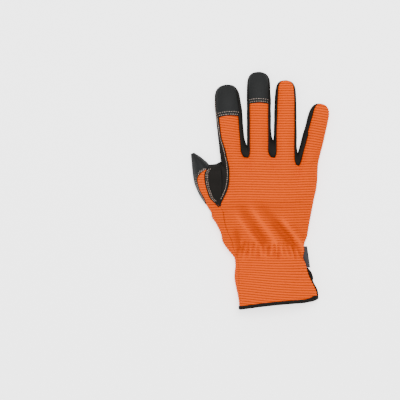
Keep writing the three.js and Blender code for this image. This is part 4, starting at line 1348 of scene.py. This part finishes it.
# How each material is made: its function and name, and then that function's own values. For the
# leathers these are the colour's setting, the grain in mm, roughness, shine, and how many times
# paler the mottling is.
MATERIAL_KINDS = {
    "knit": (ribbed_knit, "ribbed polyester knit, dyed orange"),
    # Almost black with a warm cast, matt, with a short nap
    "palm": (leather, "brushed microfibre leather, black", "leather", 1.1, 0.75, 0.04, 2.2),
    # A cooler dark grey with a smoother, slightly shining face
    "cap": (leather, "coated synthetic leather, charcoal", "cap", 1.4, 0.6, 0.08, 1.35),
    # A little smoother than the palm, because the foam holds it taut
    "pad": (leather, "microfibre leather over foam, black", "leather", 1.2, 0.7, 0.05, 1.6),
    "tape": (woven_tape, "woven edge tape, black", "#131110", 0.6),
    "tab": (woven_tape, "woven loop tape, dark grey", "#2E2E31", 0.5),
    "warm_thread": (sewing_thread, "spun thread, rust", "#A0582F"),
    "pale_thread": (sewing_thread, "spun thread, clay", "#A8958A"),
}
MATERIALS = {}


def material(kind):
    """Each material is made once, by its own function, and shared by the pieces that have it."""
    if kind not in MATERIALS:
        maker, *values = MATERIAL_KINDS[kind]
        MATERIALS[kind] = maker(*values)
    return MATERIALS[kind]


# Stitches


def inset_line(points, side, distance):
    """The line on a grid that lies at a distance from one of its sides, and its normals: on each
    grid line that leaves the side, the point where the length walked reaches the distance.
    """
    normals = unit(np.cross(np.gradient(points, axis=0), np.gradient(points, axis=1)))
    if side == "bottom":
        points, normals = points.swapaxes(0, 1), normals.swapaxes(0, 1)
    if side in ("bottom", "right"):
        points, normals = points[:, ::-1], normals[:, ::-1]
    length = walked(points)
    i = np.clip((length < distance).sum(axis=1) - 1, 0, points.shape[1] - 2)
    rows = np.arange(len(points))
    before, after = length[rows, i], length[rows, i + 1]
    t = clamp((distance - before) / np.maximum(after - before, 1e-9))[:, None]
    long_enough = length[:, -1] > distance
    return tuple(mix(a[rows, i], a[rows, i + 1], t)[long_enough] for a in (points, normals))


# A stitch has rings of points at these shares of its length. It takes up this share of a pitch
# more than its own length, rises by this share of its radius and starts sunk by the other.
RINGS = np.array([0, 0.12, 0.5, 0.88, 1])
RING_SIDES = 6
PITCH_SHARE = 1.08
STITCH_RISE, STITCH_SINK, STITCH_LIFT = 0.9, 0.6, 0.1


def stitch_points(line, normal, settings):
    """A row of stitches along a line. Each is a short round thread: its centre rises out of the
    cloth and dips back as half a sine, and its radius does too, so that both ends close.
    """
    length = walked(line)
    count = int(length[-1] / (settings.stitch_length * PITCH_SHARE))
    begin = (np.arange(count) + 0.05) * (length[-1] / count)
    where = begin[:, None] + RINGS * settings.stitch_length
    centre, up = (
        np.stack([np.interp(where, length, values[:, k]) for k in range(3)], axis=-1)
        for values in (line, normal)
    )
    up = unit(up)
    beside = np.cross(up, unit(centre[:, -1:] - centre[:, :1]))
    swell = np.sqrt(np.sin(np.pi * RINGS).clip(0))[None, :, None, None]
    angle = np.arange(RING_SIDES) * 2 * np.pi / RING_SIDES
    ring = np.cos(angle)[:, None] * beside[:, :, None] + np.sin(angle)[:, None] * up[:, :, None]
    radius = settings.thread / 2
    raised = centre + up * (STITCH_LIFT - radius * STITCH_SINK + radius * STITCH_RISE * swell[..., 0])
    return raised[:, :, None] + ring * radius * swell


def make_stitches(name, rows, material_kind):
    """Rows of stitches as one mesh, with the first and the last ring of each drawn to one point."""
    settings = bpy.context.scene.glove.cloth
    threads = np.concatenate([stitch_points(line, normal, settings) for line, normal in rows])
    ring = np.arange(len(RINGS) * RING_SIDES).reshape(len(RINGS), RING_SIDES)
    first_points = np.arange(len(threads)) * ring.size
    one = grid_quads(*ring.shape, close_columns=True)[:, ::-1]
    quads = (one[None] + first_points[:, None, None]).reshape(-1, 4)
    pole = ring.copy()
    pole[0], pole[-1] = ring[0, 0], ring[-1, 0]
    whole = (pole.reshape(-1)[None] + first_points[:, None]).reshape(-1)
    used, compact = np.unique(whole, return_inverse=True)
    quads = compact.reshape(-1)[quads]
    obj = mesh_object(name, threads.reshape(-1, 3)[used], face_list(quads), material(material_kind))
    return attach(obj)


# Operators


class GloveOperator:
    """What the glove's operators share."""

    bl_options = {"REGISTER", "UNDO"}


class GLOVE_OT_knit(GloveOperator, bpy.types.Operator):
    """Sew the knit back of the hand with its side, and the knit backs of the fingers"""

    bl_idname = "glove.knit"
    bl_label = "Knit back"

    def execute(self, context):
        rows = np.linspace(0, 1, int(BACK_LENGTH / RIB_ROW) + 1)[:, None]
        hand = back_sheet(rows, np.linspace(0, 4, 4 * FINGER_COLUMNS + 1)[None])
        level = np.interp(rows, BACK_ROWS, LEVELS)
        side = little_side(*np.broadcast_arrays(level, np.linspace(0, 1, WALL_COLUMNS + 1)[None]))
        patches = [patch(sheet, rib_of_hand(sheet)) for sheet in (hand, side)]
        tops = (cap_station(INDEX), cap_station(MIDDLE), 1, 1)
        patches += [finger_back_patch(index, top, 0, RIB_ROW) for index, top in enumerate(tops)]
        patches += finger_wall_patches(LITTLE, 1, RIB_ROW, tuck=0.0)
        make_panel("knit_back", patches, "knit", "back_panel")
        return {"FINISHED"}


class GLOVE_OT_palm(GloveOperator, bpy.types.Operator):
    """Sew the black palm with the finger fronts, and the knit palm half of the cuff"""

    bl_idname = "glove.palm"
    bl_label = "Palm and cuff"

    def execute(self, context):
        across = np.linspace(4, 0, 4 * FINGER_COLUMNS + 1)[None]
        seam = PALM_ROWS[CUFF_LEVEL]
        rows = np.linspace(0, seam, int(PALM_LENGTH / LEATHER_ROW) + 1)[:, None]
        station = stations_between(1, 0, FINGER_LENGTH, LEATHER_ROW)
        u = np.linspace(1, 0, FINGER_COLUMNS + 1)[None]
        fingers = [patch(finger_point(index, "palm", station, u)) for index in range(4)]
        make_panel("palm", [patch(palm_sheet(rows, across)), *fingers], "leather", "palm_panel")
        cuff = palm_sheet(np.linspace(seam, 1, int(CUFF_LENGTH / RIB_ROW) + 1)[:, None], across)
        make_panel("palm_cuff_knit", [patch(cuff, rib_of_hand(cuff))], "knit", "palm_cuff")
        return {"FINISHED"}


class GLOVE_OT_sidewalls(GloveOperator, bpy.types.Operator):
    """Sew the side walls between the fingers and the strip down the index finger's outer side"""

    bl_idname = "glove.sidewalls"
    bl_label = "Finger side walls"

    def execute(self, context):
        for index, name in enumerate(("index_middle_", "middle_ring_", "ring_little_")):
            near, next_one = (finger_wall_patches(index + k, 1 - 2 * k, LEATHER_ROW) for k in (0, 1))
            make_panel(name + "wall", near + next_one, "leather", name + "sidewall")
        lower = spline(index_strip_rows(), INDEX_STRIP_SAMPLES)
        lower = follow_edge(lower, back_edge_line(0, THUMB_END_LEVEL))[SHARP_END]
        strip = [*finger_wall_patches(INDEX, -1, LEATHER_ROW), patch(lower)]
        make_panel("index_strip", strip, "leather", "index_side_strip")
        return {"FINISHED"}


class GLOVE_OT_caps(GloveOperator, bpy.types.Operator):
    """Sew the reinforced caps of the index finger, the middle finger and the thumb"""

    bl_idname = "glove.caps"
    bl_label = "Fingertip caps"

    def execute(self, context):
        for index, name in ((INDEX, "index"), (MIDDLE, "middle")):
            cap = finger_back_patch(index, 1, cap_station(index), CAP_ROW)
            make_panel(name + "_tip_cap", [cap], "cap", name + "_cap")
        thumb = refine(thumb_cap_rows(), CAP_FINE)[SHARP_END]
        make_panel("thumb_tip_cap", [patch(thumb)], "cap", "thumb_cap")
        return {"FINISHED"}


class GLOVE_OT_thumb(GloveOperator, bpy.types.Operator):
    """Sew the orange strip and gusset, the web, and the thumb's palm side"""

    bl_idname = "glove.thumb"
    bl_label = "Thumb"

    def execute(self, context):
        strip = follow_edge(strip_grid(), back_edge_line(THUMB_END_LEVEL, 20))
        make_panel("thumb_knit_strip", [patch(strip, rib_of_hand(strip))], "knit", "thumb_back")
        make_panel("thumb_web", [patch(web_grid()[SHARP_END])], "leather")
        under = refine(thumb_under_rows(), UNDER_FINE)
        make_panel("thumb_palm_side", [patch(under)], "leather", "thumb_palm")
        return {"FINISHED"}


def pad_edge(y):
    """The pads' straight edge beside the palm's little-finger seam."""
    return np.stack([along(SIDE_RIGHT, "y", "x", y) - PAD_SIDE_INSET, y], axis=-1)


def rounded_line(corners, count, passes):
    """A line through corners as evenly spaced points, with its corners rounded: each point moves to
    the mean of itself and its neighbours, a few times over.
    """
    length = walked(corners)
    where = np.linspace(0, length[-1], count)
    line = np.stack([np.interp(where, length, corners[:, k]) for k in range(2)], axis=-1)
    for _ in range(passes):
        line[1:-1] = 0.5 * line[1:-1] + 0.25 * (line[:-2] + line[2:])
    return line


def pad_lines():
    """The pads' outlines seen from above: the outer pad's outer line, and the inner pad's line."""
    lines = []
    for name, rows, passes in (("outer", OUTER_PAD, 6), ("inner", INNER_PAD, 2)):
        top, bottom = (pad_edge(np.array([PAD_ENDS[f"{name}_{end}"]])) for end in ("top", "bottom"))
        corners = np.concatenate([top, np.stack([rows["x"], rows["y"]], axis=-1), bottom])
        lines.append(rounded_line(corners, PAD_POINTS, passes))
    return lines


def pad_body(first, second):
    """A padded band between two lines. Its section is a closed loop, level above, where the palm
    lies on it. Below, it rounds from each edge to a level margin for the stitches, and swells from
    there to its level face.
    """
    width = np.linalg.norm(second - first, axis=1)[:, None]
    count = len(PAD_STEPS)
    share = np.minimum(PAD_STEPS / np.maximum(width, 0.01), 0.48 * np.arange(count) / count)
    v = np.concatenate([share, 1 - share[:, ::-1], 1 - share[:, 1:], share[:, :0:-1]], axis=1)
    from_edge = np.minimum(v, 1 - v) * width
    below = PAD_TOP - (PAD_TOP - PAD_WELT) * smooth(from_edge / PAD_ROUND)
    below -= (PAD_WELT - PAD_BOTTOM) * smooth((from_edge - PAD_MARGIN) / PAD_SWELL)
    z = np.where(np.arange(v.shape[1]) < 2 * count, below, PAD_TOP)
    plan = mix(first[:, None], second[:, None], v[..., None])
    return place(plan[..., 0], plan[..., 1], z)


def closed_band(name, grid, material_made):
    """A mesh from a grid whose columns close on themselves, with its two ends filled."""
    rows, columns = grid.shape[:2]
    quads = grid_quads(rows, columns, close_columns=True)
    ends = [list(range(columns))[::-1], list(range((rows - 1) * columns, rows * columns))]
    return mesh_object(name, grid.reshape(-1, 3), quads.tolist() + ends, material_made)


def make_outward(obj):
    """Turns a closed mesh's faces outwards: they point inwards if its signed volume is below zero.
    """
    mesh = obj.data
    mesh.calc_loop_triangles()
    corners = np.zeros(len(mesh.loop_triangles) * 3, np.int32)
    mesh.loop_triangles.foreach_get("vertices", corners)
    points = np.zeros(len(mesh.vertices) * 3)
    mesh.vertices.foreach_get("co", points)
    a, b, c = points.reshape(-1, 3)[corners.reshape(-1, 3)].swapaxes(0, 1)
    if np.einsum("ij,ij->i", a, np.cross(b, c)).sum() < 0:
        mesh.flip_normals()
    return obj


class GLOVE_OT_pads(GloveOperator, bpy.types.Operator):
    """Make the two padded patches under the palm"""

    bl_idname = "glove.pads"
    bl_label = "Palm pads"

    def execute(self, context):
        outer, inner = pad_lines()
        groove = inner - sideways(inner) * PAD_GAP
        side = pad_edge(np.linspace(PAD_ENDS["inner_top"], PAD_ENDS["inner_bottom"], PAD_POINTS))
        for name, grid in (("outer", pad_body(outer, groove)), ("inner", pad_body(inner, side))):
            pad = make_outward(closed_band(f"palm_pad_{name}", grid, material("pad")))
            attach(pad, [f"{name}_palm_pad"])
        return {"FINISHED"}


def mouth_loop():
    """The hem's line round the mouth: over the back, down the little-finger side, back under the
    palm and up the gusset.
    """
    top = back_sheet(np.ones(MOUTH_POINTS), np.linspace(0, 4, MOUTH_POINTS))
    under = palm_sheet(np.ones(MOUTH_POINTS), np.linspace(4, 0, MOUTH_POINTS))

    def wall(upper, lower, sides, share_y, share_z):
        y = mix(upper[1], lower[1], share_y)
        widest = place(along(sides, "y", "x", y), y, mix(lower[2], upper[2], share_z))
        return wall_section(upper, widest, lower, np.linspace(0, 1, MOUTH_SIDE_POINTS))

    right = wall(top[-1], under[0], SIDE_RIGHT, 0.5, SIDE_HEIGHT)
    left = wall(top[0], under[-1], SIDE_LEFT, *GUSSET_WIDEST)
    return np.concatenate([top, right[1:-1], under, left[1:-1][::-1]])


# Section of the hem tape, as distance out from the cloth's face and distance past its edge: it
# folds over the edge, with a lip outside and a lip inside. Beside the gusset its outer lip
# reaches further up the palm side, between these two x, by the facing.
HEM_SECTION = np.array([
    [0.05, -0.3], [0.4, -0.35], [0.65, 0], [0.8, 0.8], [0.85, 2.2], [0.65, 3.1], [0.1, 3.5],
    [-1.3, 3.5], [-1.8, 3.0], [-1.9, 2.0], [-1.9, 0], [-1.7, -0.6], [-1.42, -0.6], [-1.42, 0.25],
    [0.05, 0.25],
])
HEM_FACING = 5.5
FACING_FROM_X, FACING_TO_X, FACING_EASE = -3, -27, 3

# Vent tape: half its width and height, how square its section is, and the knot at its end
VENT_TAPE = {"inset": 0.4, "half_width": 0.95, "half_height": 1.7, "square": 0.6}
KNOT = {"size": 1.1, "y": -86, "half_length": 5}

# Side tab: y where it starts and ends, x that it reaches there, how far its root lies in from
# the seam, its height, and half its thickness outside and inside the fold
TAB = {
    "y": (-57.0, -79.0), "reach": (48.0, 51.2), "root": 1.6, "z": 6.2, "outside": 0.9, "inside": 0.25,
}


class GLOVE_OT_binding(GloveOperator, bpy.types.Operator):
    """Fold the hem tape round the mouth, run the vent tape up from it, and fold the side tab"""

    bl_idname = "glove.binding"
    bl_label = "Hem tape and tab"

    def execute(self, context):
        loop = mouth_loop()
        run = np.roll(loop, -1, axis=0) - np.roll(loop, 1, axis=0)
        out = unit(place(-run[:, 2], 0, run[:, 0]))
        run = unit(run)
        past = unit(run * run[:, 1:2] - np.array([0, 1, 0]))
        x, z = loop[:, 0], loop[:, 2]
        under = smooth((FACING_FROM_X - x) / FACING_EASE) * smooth((x - FACING_TO_X) / FACING_EASE)
        facing = (z < PALM_LIFT + 2) * under * HEM_FACING
        reach = HEM_SECTION[:, 1] - facing[:, None] * (np.arange(len(HEM_SECTION)) < 2)
        grid = loop[:, None] + out[:, None] * HEM_SECTION[None, :, :1] + past[:, None] * reach[..., None]
        closed = np.concatenate([grid, grid[:1]])
        quads = grid_quads(*closed.shape[:2], close_columns=True) % (len(loop) * len(HEM_SECTION))
        tape = mesh_object("hem_tape", grid.reshape(-1, 3), quads.tolist(), material("tape"))
        attach(make_outward(tape), ["hem_binding"])
        self.vent()
        self.tab()
        return {"FINISHED"}

    def vent(self):
        """The tape up the vent: a rounded strip along the palm's risen edge, thicker at its end."""
        seam = palm_sheet(palm_row(np.linspace(VENT_LEVEL, 20, 60)), 4.0)
        seam = np.concatenate([seam[:1] + [[-0.6, 2, 0]], seam, seam[-1:] + [[0.3, -2.4, 0]]])
        x, y, z = np.split(seam, 3, axis=1)
        angle = np.linspace(0, 2 * np.pi, 16, endpoint=False)
        square = np.stack([np.cos(angle), np.sin(angle)], axis=-1)
        square = np.sign(square) * np.abs(square) ** VENT_TAPE["square"]
        knot = KNOT["size"] * np.exp(-(((y - KNOT["y"]) / KNOT["half_length"]) ** 4))
        out = x - VENT_TAPE["inset"] + (VENT_TAPE["half_width"] + knot) * (1 + square[:, 0])
        grid = place(out, y, z + VENT_TAPE["half_height"] * square[:, 1])
        tape = make_outward(closed_band("vent_tape", grid, material("tape")))
        attach(tape)

    def tab(self):
        """The side tab: a strip of tape folded on itself. Its section is a hairpin: out along a
        level line, round half a circle and back, and the same again inside it.
        """
        share = np.linspace(0, 1, 25)
        y = mix(*TAB["y"], share)
        root = along(SIDE_RIGHT, "y", "x", y) - TAB["root"]
        reach = mix(*TAB["reach"], share) - root - TAB["outside"]
        bend = np.linspace(np.pi / 2, -np.pi / 2, 9)
        turn = np.stack([np.cos(bend), np.sin(bend)], axis=-1)
        section = []
        for half, way in ((TAB["outside"], 1), (-TAB["inside"], -1)):
            legs = [[[0, half]], turn[::way] * abs(half) + [[1, 0]], [[0, -half]]]
            section += legs
        section = np.concatenate(section)
        stretch = np.clip(section[:, 0], 0, 1)[None] * reach[:, None]
        x = root[:, None] + stretch + np.maximum(section[:, 0] - 1, 0)
        tab = closed_band("side_loop_tab", place(x, y[:, None], TAB["z"] + section[:, 1]), material("tab"))
        attach(make_outward(tab), ["side_tab"])


class GLOVE_OT_stitches(GloveOperator, bpy.types.Operator):
    """Sew the rows of thread: at the cap hems, down the index strip, round the thumb and on the
    palm
    """

    bl_idname = "glove.stitches"
    bl_label = "Stitches"

    def execute(self, context):
        pale = []
        for index in (INDEX, MIDDLE):
            cap = finger_back_patch(index, 1, cap_station(index), CAP_ROW)["points"]
            pale += [inset_line(cap, "bottom", distance) for distance in HEM_STITCHES]
        thumb = refine(thumb_cap_rows(), CAP_FINE)[THUMB_ROWS]
        pale += [inset_line(thumb, "right", distance) for distance in THUMB_STITCHES]
        strip_wall = finger_wall_patches(INDEX, -1, LEATHER_ROW)[0]["points"][WALL_ROWS]
        lower = spline(index_strip_rows(), INDEX_STRIP_SAMPLES)[STRIP_ROWS]
        pale.append(inset_line(np.concatenate([strip_wall, lower]), "right", STRIP_STITCHES))
        pale += [inset_line(web_grid()[WEB_ROWS], "left", distance) for distance in WEB_STITCHES]
        make_stitches("pale_stitches", pale, "pale_thread")
        make_stitches("palm_stitches", self.pad_rows() + self.seam_rows(), "warm_thread")
        return {"FINISHED"}

    def pad_rows(self):
        """Double rows round both pads, on their level margins, with the threads facing down."""
        rows = []
        for line, offsets in zip(pad_lines(), (OUTER_PAD_STITCHES, INNER_PAD_STITCHES)):
            for offset in offsets:
                plan = line + sideways(line) * offset
                down = place(np.zeros(len(plan)), 0, -1)
                rows.append((place(plan[:, 0], plan[:, 1], PAD_WELT), down))
        return rows

    def seam_rows(self):
        """Double rows beside the palm's thumb-side seam: along the index finger, and over the
        thumb's seam below it.
        """
        across = np.linspace(4, 0, 4 * FINGER_COLUMNS + 1)[None]
        palm = palm_sheet(np.linspace(0, PALM_ROWS[CUFF_LEVEL], 120)[:, None], across)
        u = np.linspace(1, 0, FINGER_COLUMNS + 1)[None]
        finger = finger_point(INDEX, "palm", FINGER_SEAM[:, None], u)
        edge_y = palm[:, -1, 1]
        upper = palm[edge_y > UPPER_SEAM_FROM]
        lower = palm[(edge_y > LOWER_SEAM[0]) & (edge_y < LOWER_SEAM[1])]
        rows = []
        for distance in PALM_SEAM_STITCHES:
            pieces = [inset_line(grid, "right", distance) for grid in (finger, upper)]
            rows.append(tuple(np.concatenate(parts) for parts in zip(*pieces)))
            rows.append(inset_line(lower, "right", distance))
        return rows


class GLOVE_OT_stage(GloveOperator, bpy.types.Operator):
    """Lay the pale floor, and set the camera and the soft lights"""

    bl_idname = "glove.stage"
    bl_label = "Stage"

    def execute(self, context):
        stage = context.scene.glove.stage
        self.floor(stage)
        self.camera(context, stage)
        self.lights(context)
        return {"FINISHED"}

    def floor(self, stage):
        """A wide floor just under the glove, painted white: it gives the eye the photo's bright
        ground with a faint shade under the glove.
        """
        made, tree = start_material("painted studio floor, white")
        grey = stage.floor_grey
        speck = noise(tree, object_place(tree), 60, 2.0)
        pale = (grey * 1.01, grey * 1.01, grey * 1.01, 1)
        finish_material(tree, blend(tree, speck, (grey, grey, grey, 1), pale), 0.9, 0.1)
        shader = tree.nodes["Principled BSDF"]
        shader.inputs["Emission Color"].default_value = linear("#FFFFFF")
        shader.inputs["Emission Strength"].default_value = 1.6
        half, low = 4000.0, -0.5
        corners = [[-half, -half, low], [half, -half, low], [half, half, low], [-half, half, low]]
        mesh_object("floor", corners, [[0, 1, 2, 3]], made)

    def camera(self, context, stage):
        """A long lens straight above the photograph's middle, turned so that +Y is up."""
        data = bpy.data.cameras.new("camera")
        data.lens = data.sensor_width * stage.distance / stage.frame_width
        data.clip_end = 50
        camera = bpy.data.objects.new("camera", data)
        camera.location = (*VIEW_MIDDLE, stage.distance + VIEW_HEIGHT)
        context.scene.collection.objects.link(camera)
        context.scene.camera = camera

    def lights(self, context):
        """A large soft light above the fingertips, a weaker one from the cuff's side, and a pale
        world.
        """
        for name, place_at, size, power in LIGHTS:
            data = bpy.data.lights.new(name, "AREA")
            data.size, data.energy = size, power
            light = bpy.data.objects.new(name, data)
            light.location = place_at
            light.rotation_mode = "QUATERNION"
            light.rotation_quaternion = light.location.to_track_quat("Z", "Y")
            context.scene.collection.objects.link(light)
        world = context.scene.world or bpy.data.worlds.new("studio")
        context.scene.world = world
        world.use_nodes = True
        background = world.node_tree.nodes["Background"]
        background.inputs["Color"].default_value = linear("#F6F7F8")
        background.inputs["Strength"].default_value = 0.95


class GLOVE_PT_panel(bpy.types.Panel):
    """The glove's panel in the sidebar: its settings and one button for each step."""

    bl_label = "Mechanic Glove"
    bl_idname = "GLOVE_PT_panel"
    bl_space_type = "VIEW_3D"
    bl_region_type = "UI"
    bl_category = "Glove"

    def draw(self, context):
        glove = context.scene.glove
        for group in (glove.cloth, glove.colours, glove.stage):
            box = self.layout.box()
            for name in group.bl_rna.properties.keys():
                if name not in ("rna_type", "name"):
                    box.prop(group, name)
        for operator in OPERATORS:
            self.layout.operator(operator.bl_idname)


OPERATORS = (
    GLOVE_OT_knit,
    GLOVE_OT_palm,
    GLOVE_OT_sidewalls,
    GLOVE_OT_caps,
    GLOVE_OT_thumb,
    GLOVE_OT_pads,
    GLOVE_OT_binding,
    GLOVE_OT_stitches,
    GLOVE_OT_stage,
)
CLASSES = (GloveCloth, GloveColours, GloveStage, GloveSettings, *OPERATORS, GLOVE_PT_panel)


def register():
    """Registers the classes and puts the settings on the scene."""
    for cls in CLASSES:
        bpy.utils.register_class(cls)
    bpy.types.Scene.glove = PointerProperty(type=GloveSettings)


def unregister():
    """Takes the settings and the classes away again."""
    del bpy.types.Scene.glove
    for cls in reversed(CLASSES):
        bpy.utils.unregister_class(cls)


def main():
    register()
    for operator in OPERATORS:
        group, name = operator.bl_idname.split(".")
        getattr(getattr(bpy.ops, group), name)()


if __name__ == "__main__":
    main()
